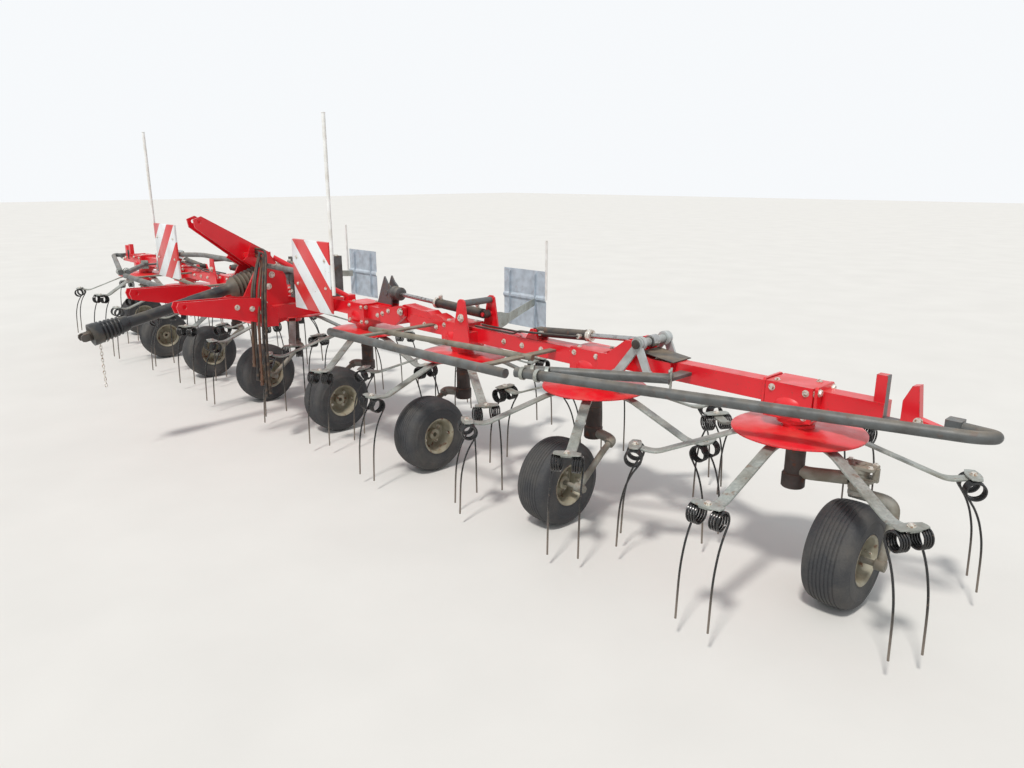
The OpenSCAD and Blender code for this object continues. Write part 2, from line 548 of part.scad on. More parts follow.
centre_frame();
headstock();
drive_gearbox();
pto_shaft();
front_boards();
centre_legs();
hoses();
right() wing_beam();  // right_wing_beam
right() wing_guard();  // right_wing_guard
right() wing_legs();  // right_wing_legs
right() rear_board();  // right_rear_board
left() wing_beam();  // left_wing_beam
left() wing_guard();  // left_wing_guard
left() wing_legs();  // left_wing_legs
left() rear_board();  // left_rear_board
right() tip_beam();  // right_tip_beam
right() tip_guard();  // right_tip_guard
right() tip_mast();  // right_tip_mast
left() tip_beam();  // left_tip_beam
left() tip_guard();  // left_tip_guard
left() tip_mast();  // left_tip_mast
right() swivel_fork();  // right_swivel_fork
left() swivel_fork();  // left_swivel_fork
right() lift_barrel();  // right_lift_barrel
right() lift_rod();  // right_lift_rod
left() lift_barrel();  // left_lift_barrel
left() lift_rod();  // left_lift_rod
right() fold_barrel();  // right_fold_barrel
right() fold_rod();  // right_fold_rod
left() fold_barrel();  // left_fold_barrel
left() fold_rod();  // left_fold_rod
right() inner_link();  // right_inner_link
right() outer_link();  // right_outer_link
left() inner_link();  // left_inner_link
left() outer_link();  // left_outer_link
color(zinc) rotor(1);  // rotor_1
color(zinc) rotor(2);  // rotor_2
color(zinc) rotor(3);  // rotor_3
color(zinc) rotor(4);  // rotor_4
color(zinc) rotor(5);  // rotor_5
color(zinc) rotor(6);  // rotor_6
color(zinc) rotor(7);  // rotor_7
color(zinc) rotor(8);  // rotor_8
color(black) tyre(1);  // tyre_1
color(black) tyre(2);  // tyre_2
color(black) tyre(3);  // tyre_3
color(black) tyre(4);  // tyre_4
color(black) tyre(5);  // tyre_5
color(black) tyre(6);  // tyre_6
color(black) tyre(7);  // tyre_7
color(black) tyre(8);  // tyre_8
color(zinc) rim(1);  // rim_1
color(zinc) rim(2);  // rim_2
color(zinc) rim(3);  // rim_3
color(zinc) rim(4);  // rim_4
color(zinc) rim(5);  // rim_5
color(zinc) rim(6);  // rim_6
color(zinc) rim(7);  // rim_7
color(zinc) rim(8);  // rim_8
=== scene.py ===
import math

import bmesh
import bpy
import numpy as np
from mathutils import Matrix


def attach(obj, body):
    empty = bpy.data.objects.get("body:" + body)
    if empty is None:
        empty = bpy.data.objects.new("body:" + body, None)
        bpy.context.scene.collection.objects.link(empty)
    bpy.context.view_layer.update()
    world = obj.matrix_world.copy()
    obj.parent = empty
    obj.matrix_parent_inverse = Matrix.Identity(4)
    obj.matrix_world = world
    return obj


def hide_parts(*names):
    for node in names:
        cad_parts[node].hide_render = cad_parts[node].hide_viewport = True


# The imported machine. Its beam line lies 0.365 m behind the middle of its outline, and every
# new piece is worked out with the beam line at y = 0 and moved back by this much.
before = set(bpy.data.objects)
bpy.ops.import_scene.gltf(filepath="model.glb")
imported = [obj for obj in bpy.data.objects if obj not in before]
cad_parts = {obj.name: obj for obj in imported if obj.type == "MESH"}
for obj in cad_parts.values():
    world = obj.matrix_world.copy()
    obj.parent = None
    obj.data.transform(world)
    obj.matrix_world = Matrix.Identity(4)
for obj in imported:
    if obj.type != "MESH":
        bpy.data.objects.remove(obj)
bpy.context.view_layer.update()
back = 0.365

# The camera stands off the right-hand end, in front of the machine, at the eye height of
# someone who looks over the beam. Its lens and place were solved from the wheels and masts.
camera_data = bpy.data.cameras.new("yard_camera")
camera_data.lens = 27.07
camera_data.sensor_width = 36
camera = bpy.data.objects.new("yard_camera", camera_data)
camera.location = (5.248, -2.719, 1.77)
camera.rotation_euler = (math.radians(74.92), 0, math.radians(45.9))
bpy.context.scene.collection.objects.link(camera)
bpy.context.scene.camera = camera
bpy.context.scene.view_settings.view_transform = "Standard"


# The hydraulic hoses: black and brown rubber over wire braid. They leave the headstock's plate
# in a bundle, cross over the board's arm and hang down outside the hitch arm to their couplers.
# The route of the first is the one of the solid hose, and the others lie beside it.
class Value:
    """A number or colour on its way through a material; an expression on it adds its Math nodes."""

    def __init__(self, finish, socket):
        self.finish = finish
        self.socket = socket

    def maths(self, operation, *inputs):
        return self.finish.node("ShaderNodeMath", {"operation": operation}, dict(enumerate(inputs)))

    def __add__(self, other):
        return self.maths("ADD", self, other)

    __radd__ = __add__

    def __sub__(self, other):
        return self.maths("SUBTRACT", self, other)

    def __rsub__(self, other):
        return self.maths("SUBTRACT", other, self)

    def __mul__(self, other):
        return self.maths("MULTIPLY", self, other)

    __rmul__ = __mul__

    def __truediv__(self, other):
        return self.maths("DIVIDE", self, other)

    def __abs__(self):
        return self.maths("ABSOLUTE", self)

    def fraction(self):
        """What is left over a whole number."""
        return self.maths("FRACT", self)

    def band(self, low, high):
        """0 below low, 1 above high and straight between; the other way round when low is the greater."""
        limits = {"Value": self, "From Min": low, "From Max": high}
        return self.finish.node("ShaderNodeMapRange", {"clamp": True}, limits)

    def within(self, low, high, blur=0.0005):
        """1 from low to high, with soft ends."""
        return self.band(low - blur, low + blur) * self.band(high + blur, high - blur)


def seen(red, green, blue):
    """Linear colour of a paint that looks like this on a screen, 0 to 255: ((c + 0.055) / 1.055) ^ 2.4."""
    c = np.array([red, green, blue]) / 255
    linear = np.where(c > 0.04045, ((c + 0.055) / 1.055) ** 2.4, c / 12.92)
    return tuple(float(x) for x in linear) + (1.0,)


class Finish:
    """One material. node() adds any node, from its type, its settings and the values of its sockets."""

    def __init__(self, name, **plain):
        self.material = bpy.data.materials.new(name)
        self.material.use_nodes = True
        self.tree = self.material.node_tree
        self.shader = self.tree.nodes["Principled BSDF"]
        for socket, value in plain.items():
            self.shader.inputs[socket.replace("_", " ")].default_value = value
        self.place = self.node("ShaderNodeTexCoord", output="Object")

    def node(self, kind, settings=None, inputs=None, output=0):
        made = self.tree.nodes.new(kind)
        for key, value in (settings or {}).items():
            setattr(made, key, value)
        for key, value in (inputs or {}).items():
            self.feed(made.inputs[key], value)
        return Value(self, made.outputs[output])

    def feed(self, socket, value):
        if isinstance(value, Value):
            self.tree.links.new(value.socket, socket)
        else:
            socket.default_value = value

    def surface(self, **fed):
        for socket, value in fed.items():
            self.feed(self.shader.inputs[socket.replace("_", " ")], value)

    def noise(self, scale, detail=4.0, stretch=(1, 1, 1)):
        """Cloudy pattern from 0 to 1: scale is its number of clouds to a metre."""
        place = self.node("ShaderNodeMapping", {}, {"Vector": self.place, "Scale": stretch})
        return self.node("ShaderNodeTexNoise", {}, {"Vector": place, "Scale": scale, "Detail": detail})

    def mix(self, factor, first, second):
        """The first colour where the factor is 0 and the second where it is 1."""
        return self.node("ShaderNodeMix", {"data_type": "RGBA"}, {0: factor, 6: first, 7: second}, output=2)

    def along(self, axis):
        """X, Y or Z of the machine, in metres."""
        return self.node("ShaderNodeSeparateXYZ", {}, {0: self.place}, output=axis)

    def edges(self, radius, low=0.995, high=0.93):
        """1 on edges sharper than a bevel of this radius: the rounded normal leaves the flat one there."""
        rounded = self.node("ShaderNodeBevel", {"samples": 4}, {"Radius": radius})
        flat = self.node("ShaderNodeNewGeometry", output="Normal")
        dot = {"operation": "DOT_PRODUCT"}
        return self.node("ShaderNodeVectorMath", dot, {0: rounded, 1: flat}, output=1).band(low, high)

    def facing_up(self):
        """1 on faces that look up, where dust settles."""
        normal = self.node("ShaderNodeNewGeometry", output="Normal")
        return self.node("ShaderNodeSeparateXYZ", {}, {0: normal}, output="Z").band(0.3, 0.95)

    def relief(self, height, depth, round_edges=0.0):
        """Bump of this depth in metres, on edges that look rounded by round_edges."""
        inputs = {"Height": height, "Distance": depth, "Strength": 1.0}
        if round_edges:
            inputs["Normal"] = self.node("ShaderNodeBevel", {"samples": 4}, {"Radius": round_edges})
        self.surface(Normal=self.node("ShaderNodeBump", {}, inputs))


def grid(rows, cols, loop=False):
    """Quads of a rows x cols grid of points: each row closes on itself, and the columns do if loop."""
    i, j = np.meshgrid(np.arange(rows if loop else rows - 1), np.arange(cols), indexing="ij")
    up = (i + 1) % rows
    over = (j + 1) % cols
    corners = [i * cols + j, i * cols + over, up * cols + over, up * cols + j]
    return np.stack(corners, -1).reshape(-1, 4).tolist()


def ring(radius, sides=12):
    """Round section: (r cos a, r sin a)."""
    a = np.arange(sides) * 2 * np.pi / sides
    return np.stack([radius * np.cos(a), radius * np.sin(a)], -1)


def swept(path, section, across=(0, 0, 1), scale=1.0):
    """Section (u, v) carried along a path: P + s (u N + v B), with N = T x across and B = N x T."""
    path = np.asarray(path, float)
    run = np.gradient(path, axis=0)
    run /= np.linalg.norm(run, axis=1, keepdims=True)
    n = np.cross(run, across)
    n /= np.linalg.norm(n, axis=1, keepdims=True)
    b = np.cross(n, run)
    s = np.broadcast_to(scale, len(path))[:, None, None]
    points = path[:, None] + s * (section[None, :, :1] * n[:, None] + section[None, :, 1:] * b[:, None])
    rows = len(path)
    cols = len(section)
    ends = [list(range(cols)), list(range((rows - 1) * cols, rows * cols))]
    return points.reshape(-1, 3), grid(rows, cols) + ends


def flowing(points, steps=8):
    """Smooth curve through the points: 0.5 (2b + (c-a)t + (2a-5b+4c-d)t^2 + (3b-a-3c+d)t^3)."""
    p = np.asarray(points, float)
    p = np.concatenate([[2 * p[0] - p[1]], p, [2 * p[-1] - p[-2]]])
    a, b, c, d = p[:-3, None], p[1:-2, None], p[2:-1, None], p[3:, None]
    t = np.linspace(0, 1, steps, endpoint=False)[None, :, None]
    square = 2 * a - 5 * b + 4 * c - d
    cube = 3 * b - a - 3 * c + d
    curve = 0.5 * (2 * b + (c - a) * t + square * t**2 + cube * t**3)
    return np.concatenate([curve.reshape(-1, 3), p[-2:-1]])


def turned(profile, sides=40, loop=False):
    """Profile (r, z) turned about Z: (r cos a, r sin a, z). A loop closes the profile on itself."""
    r, z = np.asarray(profile, float).T[:, :, None]
    a = np.arange(sides) * 2 * np.pi / sides
    points = np.stack([r * np.cos(a), r * np.sin(a), np.repeat(z, sides, 1)], -1)
    return points.reshape(-1, 3), grid(len(r), sides, loop)


def set_at(shape, at, z=(0, 0, 1), x=(1, 0, 0)):
    """The shape with its Z turned to z and its X kept near x, set down at a point."""
    z = np.array(z, float) / np.linalg.norm(z)
    y = np.cross(z, x)
    if np.linalg.norm(y) < 1e-6:
        y = np.cross(z, (0, 1, 0))
    y /= np.linalg.norm(y)
    return shape[0] @ np.array([np.cross(y, z), y, z]) + np.array(at, float), shape[1]


def together(shapes):
    """Several shapes as one: their points end to end, and their faces counted on."""
    starts = np.cumsum([0] + [len(points) for points, faces in shapes]).tolist()
    counted_on = []
    for start, (points, faces) in zip(starts, shapes):
        counted_on += [[k + start for k in face] for face in faces]
    return np.concatenate([points for points, faces in shapes]), counted_on


def piece(name, shapes, finish, body, stands_for=(), bevel=0.0, shift=(0, back, 0)):
    """New object from shapes, moved back to the beam line: doubles merged and faces turned outwards."""
    points, faces = together(shapes)
    mesh = bpy.data.meshes.new(name)
    mesh.from_pydata((points + np.array(shift)).tolist(), [], faces)
    work = bmesh.new()
    work.from_mesh(mesh)
    bmesh.ops.remove_doubles(work, verts=work.verts, dist=2e-6)
    bmesh.ops.dissolve_degenerate(work, edges=work.edges, dist=1e-6)
    bmesh.ops.recalc_face_normals(work, faces=work.faces)
    work.to_mesh(mesh)
    work.free()
    mesh.shade_smooth()
    mesh.set_sharp_from_angle(angle=math.radians(38))
    mesh.materials.append(finish.material)
    made = bpy.data.objects.new(name, mesh)
    bpy.context.scene.collection.objects.link(made)
    if bevel:
        rounding = made.modifiers.new("rounding", "BEVEL")
        rounding.width = bevel
        rounding.segments = 2
        rounding.limit_method = "ANGLE"
        rounding.angle_limit = math.radians(40)
        rounding.harden_normals = True
    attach(made, body)
    if stands_for:
        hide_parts(*stands_for)
    return made


per_metre = 1000
hose_radius = 0.009
hose_stops = np.array([
    [144, -610, 1262], [218, -610, 1262], [290, -628, 1254], [352, -658, 1218],
    [406, -696, 1152], [448, -730, 1062], [474, -754, 952], [488, -768, 840],
    [494, -776, 720], [497, -781, 600], [499, -784, 480], [500, -785, 370],
]) / per_metre
coupler_profile = [
    (0, -0.03), (0.0095, -0.03), (0.0105, -0.028), (0.0105, -0.004), (0.0135, -0.002), (0.0135, 0.014),
    (0.0115, 0.016), (0.0115, 0.03), (0.0135, 0.032), (0.0135, 0.042), (0.009, 0.044), (0, 0.044),
]
# Name, how far it lies beside the first one in millimetres, number of stops, fresh and aged colour.
hose_rows = (
    ("near", (0, 0, 0), 12, (34, 30, 28), (92, 72, 56)),
    ("upper", (16, 14, 26), 12, (46, 36, 30), (104, 82, 62)),
    ("lower", (-22, -18, -26), 11, (86, 56, 40), (112, 82, 62)),
    ("inner", (-42, -34, 6), 11, (30, 28, 27), (84, 68, 54)),
    ("front", (-60, -46, -20), 10, (78, 52, 38), (104, 80, 60)),
)
for name, aside, stops, fresh, aged in hose_rows:
    rubber = Finish("rubber_" + name, Roughness=0.55)
    grime = rubber.noise(30).band(0.45, 0.7)
    rubber.surface(Base_Color=rubber.mix(grime, seen(*fresh), seen(*aged)), Roughness=grime * 0.25 + 0.45)
    rubber.relief(rubber.noise(260, 2.0), 0.0006)
    spread = np.clip(np.arange(stops) / 5, 0, 1)[:, None] ** 0.7 * [1, 1, 0] + [0, 0, 1]
    line = flowing(hose_stops[:stops] + np.array(aside) / per_metre * spread, 3)
    hose = swept(line, ring(hose_radius), across=(0, 1, 0))
    tube = piece("hose_" + name, [hose], rubber, "frame", ["hoses"])
    end = set_at(turned(coupler_profile, 24), line[-1], line[-1] - line[-3])
    coupler = piece("coupler_" + name, [end], rubber, "frame", ["hoses"])

# The stage: a pale concrete floor, a soft sky and one soft sun, at a level at which a colour
# renders about as it is written. None of it is part of the machine.
floor_finish = Finish("pale_floor", Roughness=0.9)
clouds = floor_finish.noise(1.5)
floor_finish.surface(Base_Color=floor_finish.mix(clouds, seen(214, 212, 208), seen(226, 224, 220)))
floor_half = 60
floor_mesh = bpy.data.meshes.new("floor")
floor_corners = [(a * floor_half, b * floor_half, 0) for a, b in ((-1, -1), (1, -1), (1, 1), (-1, 1))]
floor_mesh.from_pydata(floor_corners, [], [(0, 1, 2, 3)])
floor_mesh.materials.append(floor_finish.material)
floor = bpy.data.objects.new("floor", floor_mesh)
bpy.context.scene.collection.objects.link(floor)

world = bpy.data.worlds.new("soft_sky")
bpy.context.scene.world = world
world.use_nodes = True
sky = world.node_tree
light_path = sky.nodes.new("ShaderNodeLightPath")
shown = light_path.outputs["Is Camera Ray"]
for rays in ("Is Glossy Ray", "Is Transmission Ray"):
    either = sky.nodes.new("ShaderNodeMath")
    either.operation = "MAXIMUM"
    sky.links.new(shown, either.inputs[0])
    sky.links.new(light_path.outputs[rays], either.inputs[1])
    shown = either.outputs[0]
sky_mix = sky.nodes.new("ShaderNodeMixShader")
sky_light = sky.nodes["Background"]
sky_light.inputs["Color"].default_value = (0.92, 0.96, 1.0, 1.0)
sky_light.inputs["Strength"].default_value = 0.62
sky_shown = sky.nodes.new("ShaderNodeBackground")
sky_shown.inputs["Color"].default_value = (0.93, 0.95, 0.97, 1.0)
sky.links.new(shown, sky_mix.inputs[0])
sky.links.new(sky_light.outputs[0], sky_mix.inputs[1])
sky.links.new(sky_shown.outputs[0], sky_mix.inputs[2])
sky.links.new(sky_mix.outputs[0], sky.nodes["World Output"].inputs["Surface"])

sun_data = bpy.data.lights.new("soft_sun", "SUN")
sun_data.energy = 2.3
sun_data.angle = math.radians(7)
sun_data.color = (1.0, 0.97, 0.92)
sun = bpy.data.objects.new("soft_sun", sun_data)
sun.rotation_euler = (math.radians(33.1), 0, math.radians(19.85))
bpy.context.scene.collection.objects.link(sun)


# The centre beam: a square steel tube painted red, with a gear case over each of the two
# middle rotors, hinge cheeks at its ends and dark cast lock brackets for the lift cylinders.
rotor_pitch = 1.08
centre_x = rotor_pitch / 2
beam_z = 0.84


def red_paint(name, bare_area=None):
    """Red two-pack paint: faded patches, chips on the edges, dust on top, scratches and stone chips.
    Inside the bare area, where one is given, the steel shows."""
    made = Finish(name, Coat_Weight=0.25, Coat_Roughness=0.12)
    patches = made.noise(3.2, 3.0).band(0.35, 0.7)
    colour = made.mix(patches, seen(226, 24, 38), seen(208, 16, 32))
    chips = made.edges(0.004) * made.noise(70, 5.0).band(0.5, 0.56)
    scratch = made.noise(9, 6.0, (1, 14, 30)).band(0.665, 0.7) * made.noise(4).band(0.5, 0.6)
    grit = made.noise(140, 2.0).band(0.62, 0.7) * made.noise(7).band(0.45, 0.6)
    dust = made.facing_up() * made.noise(11, 6.0).band(0.38, 0.72)
    colour = made.mix(dust * 0.24, colour, seen(170, 128, 104))
    colour = made.mix(grit * 0.5, colour, seen(120, 66, 50))
    colour = made.mix(scratch * 0.6, colour, seen(214, 120, 112))
    colour = made.mix(chips, colour, seen(96, 62, 48))
    rough = dust * 0.3 + 0.3 + chips * 0.3
    if bare_area:
        bare = bare_area(made)
        steel = made.mix(made.noise(45, 5.0).band(0.5, 0.7), seen(92, 94, 96), seen(96, 82, 70))
        colour = made.mix(bare, colour, steel)
        rough = rough + bare * 0.25
    made.surface(Base_Color=colour, Roughness=rough)
    made.relief(made.noise(320, 2.0) * 0.4 - chips * 0.6, 0.0007, 0.003)
    return made


def coat_node(name, finish):
    """Gives a solid of the CAD its finish."""
    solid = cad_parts[name]
    solid.data.materials.clear()
    solid.data.materials.append(finish.material)


def lock_bracket_area(made):
    """1 over the lock brackets, which stand on the beam between these two places on either side."""
    bracket_from = 0.629
    bracket_to = 0.8345
    foot = 0.901
    on_beam = abs(made.along("X")).within(bracket_from, bracket_to)
    return on_beam * made.along("Z").band(foot - 0.0005, foot + 0.0005)


coat_node("centre_frame", red_paint("centre_red", lock_bracket_area))


def mirrored(shapes):
    """The same shapes on the other side of x = 0."""
    return [(points * [-1, 1, 1], faces) for points, faces in shapes]


def both(shapes):
    """The shapes and their mirror images."""
    return shapes + mirrored(shapes)


def cylinder(radius, low, high, sides):
    """Plain cylinder about Z from low to high."""
    return turned([(0, low), (radius, low), (radius, high), (0, high)], sides)


def bolt(at, z, size=0.016):
    """Hexagon head with a chamfer, 1.84 sizes across its corners, on a washer and round its shank."""
    r = size * 0.92
    h = size * 0.65
    washer = cylinder(size * 1.15, 0, size * 0.16, 16)
    head = turned([(0, 0), (r, 0), (r, h * 0.85), (r * 0.86, h + size * 0.1), (0, h + size * 0.1)], 6)
    shank = cylinder(size / 2, 0, h, 10)
    return [set_at(shape, at, z) for shape in (washer, head, shank)]


def bolts(places, z, size=0.016):
    """The same bolt at each place."""
    return [shape for at in places for shape in bolt(at, z, size)]


zinc_plate = Finish("zinc_bolts", Metallic=0.55)
spots = zinc_plate.noise(90, 4.0).band(0.52, 0.66)
bolt_colour = zinc_plate.mix(spots, seen(218, 215, 206), seen(150, 116, 88))
zinc_plate.surface(Base_Color=bolt_colour, Roughness=spots * 0.3 + 0.32)
zinc_plate.relief(zinc_plate.noise(600, 2.0), 0.0003)


def gear_case_bolts(x, lift=0.0):
    """Bolts of one gear case: four on each end and on each side, and two on its lid."""
    rows = (beam_z - 0.07 + lift, beam_z + 0.035 + lift)
    shapes = []
    for way in (-1, 1):
        shapes += bolts([(x + way * 0.105, y, z) for y in (-0.066, 0.066) for z in rows], (way, 0, 0), 0.013)
        shapes += bolts([(x + u, way * 0.085, z) for u in (-0.075, 0.075) for z in rows], (0, way, 0), 0.013)
        shapes += bolt((x + way * 0.07, way * 0.05, beam_z + 0.06 + lift), (0, 0, 1), 0.012)
    return shapes


centre_bolts = gear_case_bolts(centre_x)
for way in (-1, 1):
    centre_bolts += bolt((rotor_pitch, way * 0.081, beam_z + 0.06), (0, way, 0), 0.022)
hump_bolts = [(0.80, -0.073, 0.84), (0.86, -0.073, 0.86), (0.93, -0.073, 0.885)]
centre_bolts += bolts(hump_bolts, (0, -1, 0), 0.014)
piece("centre_bolts", both(centre_bolts), zinc_plate, "frame")

# The headstock: two flame-cut plates welded to the cross box, with the top link arm above
# and the lower hitch arms at the sides, all painted red and bolted through the body.
coat_node("headstock", red_paint("headstock_red"))
body_face = 0.144
hitch_face = 0.4575
body_bolts = [(-0.505, 1.10), (-0.535, 1.02), (-0.60, 0.93), (-0.575, 0.90)]
body_bolts += [(-0.625, 0.895), (-0.46, 0.86), (-0.455, 1.16)]
hitch_bolts = [(-0.82, 0.93), (-0.92, 0.95), (-0.75, 0.90)]
headstock_bolts = bolts([(body_face, y, z) for y, z in body_bolts], (1, 0, 0), 0.02)
headstock_bolts += bolts([(hitch_face, y, z) for y, z in hitch_bolts], (1, 0, 0), 0.016)
piece("headstock_bolts", both(headstock_bolts), zinc_plate, "frame")


# The drive gearbox: a grey iron casting on the beam, with a ribbed cover, a ring of bolts
# round its input shaft, and dust baked onto the oil that has wept from it.
def worn_paint(name, fresh, aged, rough=0.5, rust=0.45, dust=0.3, edge=0.003, grain=240.0, metal=0.0):
    """Paint or metal gone dull: blotches of the aged colour, rust on edges and in patches, dust on top."""
    made = Finish(name, Metallic=metal)
    blotches = made.noise(14, 6.0).band(0.38, 0.66)
    colour = made.mix(blotches, fresh, aged)
    patches = made.noise(24, 8.0).band(0.6, 0.68)
    rusty = (made.edges(edge) * made.noise(60, 4.0).band(0.42, 0.55) + patches) * rust
    colour = made.mix(rusty.band(0, 1), colour, seen(104, 62, 40))
    settled = made.facing_up() * made.noise(16, 5.0).band(0.3, 0.7) * dust
    colour = made.mix(settled, colour, seen(168, 150, 126))
    made.surface(Base_Color=colour, Roughness=blotches * 0.12 + rough + rusty * 0.2)
    made.relief(made.noise(grain, 4.0) + patches * 0.8, 0.0009, edge)
    return made


cast_grey = worn_paint("gearbox_grey", seen(92, 94, 94), seen(62, 58, 54), 0.5, 0.5, 0.6)
coat_node("drive_gearbox", cast_grey)
box_front = -0.23
box_top = 1.19
box_bolts = bolts([(x, box_front, z) for x in (-0.09, 0.09) for z in (0.93, 1.05, 1.16)], (0, -1, 0), 0.014)
box_bolts += bolts([(x, y, box_top) for x in (-0.085, 0.085) for y in (-0.2, -0.07, 0.06)], (0, 0, 1), 0.014)
piece("gearbox_bolts", box_bolts, zinc_plate, "frame")

# The drive shaft: a telescopic shaft inside black plastic guards. A big ribbed cone covers the
# machine end, a small one the tractor end, and a forged yoke with its cross sticks out there.
shaft_from = np.array([0, -0.40, 1.09])
shaft_to = np.array([0, -1.74, beam_z - 0.045])
shaft_long = float(np.linalg.norm(shaft_to - shaft_from))
shaft_run = (shaft_to - shaft_from) / shaft_long
tube_radius = 0.0385


def on_shaft(shape):
    """The shape with its Z along the shaft, from the gearbox's end on."""
    return set_at(shape, shaft_from, shaft_run)


def bellows(z0, z1, r0, r1, ribs, depth, per=10):
    """Ribbed cone: r = r0 + (r1 - r0) t + depth (0.5 + 0.5 cos(2 pi ribs t)) ^ 0.6."""
    t = np.linspace(0, 1, ribs * per + 1)
    wave = (0.5 + 0.5 * np.cos(2 * np.pi * ribs * t)) ** 0.6
    return np.stack([r0 + (r1 - r0) * t + depth * wave, z0 + (z1 - z0) * t], -1).tolist()


guard_plastic = Finish("guard_plastic", Roughness=0.5)
near_box = guard_plastic.along("Y").band(-0.52, -0.36) * 0.3
dusty = (guard_plastic.noise(9, 6.0) + guard_plastic.facing_up() * 0.12 + near_box).band(0.52, 0.88)
guard_colour = guard_plastic.mix(dusty, seen(36, 38, 41), seen(104, 97, 84))
guard_plastic.surface(Base_Color=guard_colour, Roughness=dusty * 0.25 + 0.34)
guard_plastic.relief(guard_plastic.noise(180, 3.0), 0.0008)
big_cone = [(0.05, 0.04), (0.1, 0.036)] + bellows(0.038, 0.33, 0.094, 0.06, 10, 0.016)
big_cone += [(0.062, 0.345), (0.058, 0.36), (0.043, 0.372), (tube_radius, 0.39)]
guard_tube = [(tube_radius, 0.66), (0.0365, 0.665), (0.0365, shaft_long - 0.30)]
collar = [(0.046, shaft_long - 0.295), (0.052, shaft_long - 0.27), (0.052, shaft_long - 0.245)]
small_cone = bellows(shaft_long - 0.24, shaft_long - 0.12, 0.05, 0.06, 5, 0.01)
bell = ((0.068, 0.105), (0.0705, 0.095), (0.0705, 0.062), (0.062, 0.06), (0.03, 0.075))
small_cone += [(radius, shaft_long - from_end) for radius, from_end in bell]
guards = on_shaft(turned(big_cone + guard_tube + collar + small_cone, 48))
piece("shaft_guards", [guards], guard_plastic, "frame", ["pto_shaft"])
yoke_steel = worn_paint("yoke_steel", seen(88, 84, 80), seen(66, 58, 50), 0.45, 0.6, 0.3, metal=0.4)


def plate(outline, thickness):
    """Outline (x, y) raised from z = 0 to the thickness."""
    flat = np.asarray(outline, float)
    n = len(flat)
    points = np.concatenate([np.c_[flat, np.zeros(n)], np.c_[flat, np.full(n, thickness)]])
    return points, grid(2, n) + [list(range(n)), list(range(n, 2 * n))]


def slab(wide, high, thickness):
    """Flat plate of this width and height, centred on Z."""
    x = wide / 2
    y = high / 2
    return plate([(-x, -y), (x, -y), (x, y), (-x, y)], thickness)


drive_bore = 0.035
ear_thickness = 0.013


def forged_yoke(z0, z1, radius, gape):
    """Forged yoke along Z: a bored boss, and two ears that rise from it to the cross."""
    bore = drive_bore / 2
    flare = radius + 0.002
    boss = turned([(bore, z0), (radius, z0), (flare, z0 + 0.004), (flare, z1), (bore, z1)], 32, True)
    half_ear = np.array([(0.018, 0.05), (0.024, 0.035), (0.024, 0)])
    ear = plate(np.concatenate([half_ear[::-1] * [-1, 1], [(0, 0.056)], half_ear]), ear_thickness)
    places = [(way * gape - ear_thickness / 2, 0, z1 - 0.004) for way in (-1, 1)]
    return [boss] + [set_at(ear, at, (1, 0, 0), (0, 1, 0)) for at in places]


near_yoke = [(0.018, 0.006), (0.038, 0.006), (0.04, 0.02), (0.04, 0.055), (0.018, 0.055)]
yoke_shapes = forged_yoke(shaft_long - 0.092, shaft_long - 0.046, 0.031, 0.03)
yoke_shapes += [turned(near_yoke, 32, True), cylinder(0.026, shaft_long - 0.12, shaft_long - 0.02, 24)]
yokes = [on_shaft(shape) for shape in yoke_shapes]
piece("shaft_yokes", yokes, yoke_steel, "frame", bevel=0.0015)
link_points, link_faces = turned(ring(0.0022, 8) + [0.0075, 0], 14, True)
link = (link_points * [1.0, 1.7, 1.0], link_faces)
link_pitch = 0.0205
chain_top = shaft_from + shaft_run * (shaft_long - 0.09) + [0.0, 0.02, -0.072]
chain = []
for k in range(14):
    facing = (1, 0.15 * (k % 3), 0) if k % 2 else (0.2, 1, 0)
    across = (0, 1, 0) if k % 2 else (1, 0, 0)
    chain.append(set_at(link, chain_top - [0, 0, link_pitch * k], facing, across))
piece("guard_chain", chain, zinc_plate, "frame")


# The front warning boards: thin steel sheets with rolled edges and reflecting red and white
# stripes, each on a bent tube from the headstock, with a tall white marker pole beside it.
board_side = 0.423
board_x = 1.12
board_z = 1.1965


def folded_board(side, depth=0.012, lip=0.004, sheet=0.0015):
    """Square sheet in xz, its rim turned back: y = depth (1 - min(way to the edge / lip, 1)) ^ 2."""
    rim_rows = np.linspace(0.5 - lip / side, 0.5, 5) * side
    u = np.concatenate([-rim_rows[::-1], rim_rows])
    uu, vv = np.meshgrid(u, u, indexing="ij")
    near = np.minimum(side / 2 - np.abs(uu), side / 2 - np.abs(vv)) / lip
    y = depth * (1 - np.clip(near, 0, 1)) ** 2
    front = np.stack([uu, y, vv], -1).reshape(-1, 3)
    order = np.arange(uu.size).reshape(uu.shape)
    corners = [order[:-1, :-1], order[1:, :-1], order[1:, 1:], order[:-1, 1:]]
    faces = np.stack(corners, -1).reshape(-1, 4).tolist()
    edge = np.concatenate([order[0], order[1:, -1], order[-1, -2::-1], order[-2:0:-1, 0]])
    n = len(front)
    m = len(edge)
    after = (np.arange(m) + 1) % m
    rim = np.stack([edge, edge[after], n + after, n + np.arange(m)], -1).tolist()
    return np.concatenate([front, front[edge] + [0, sheet, 0]]), faces + rim + [list(range(n, n + m))]


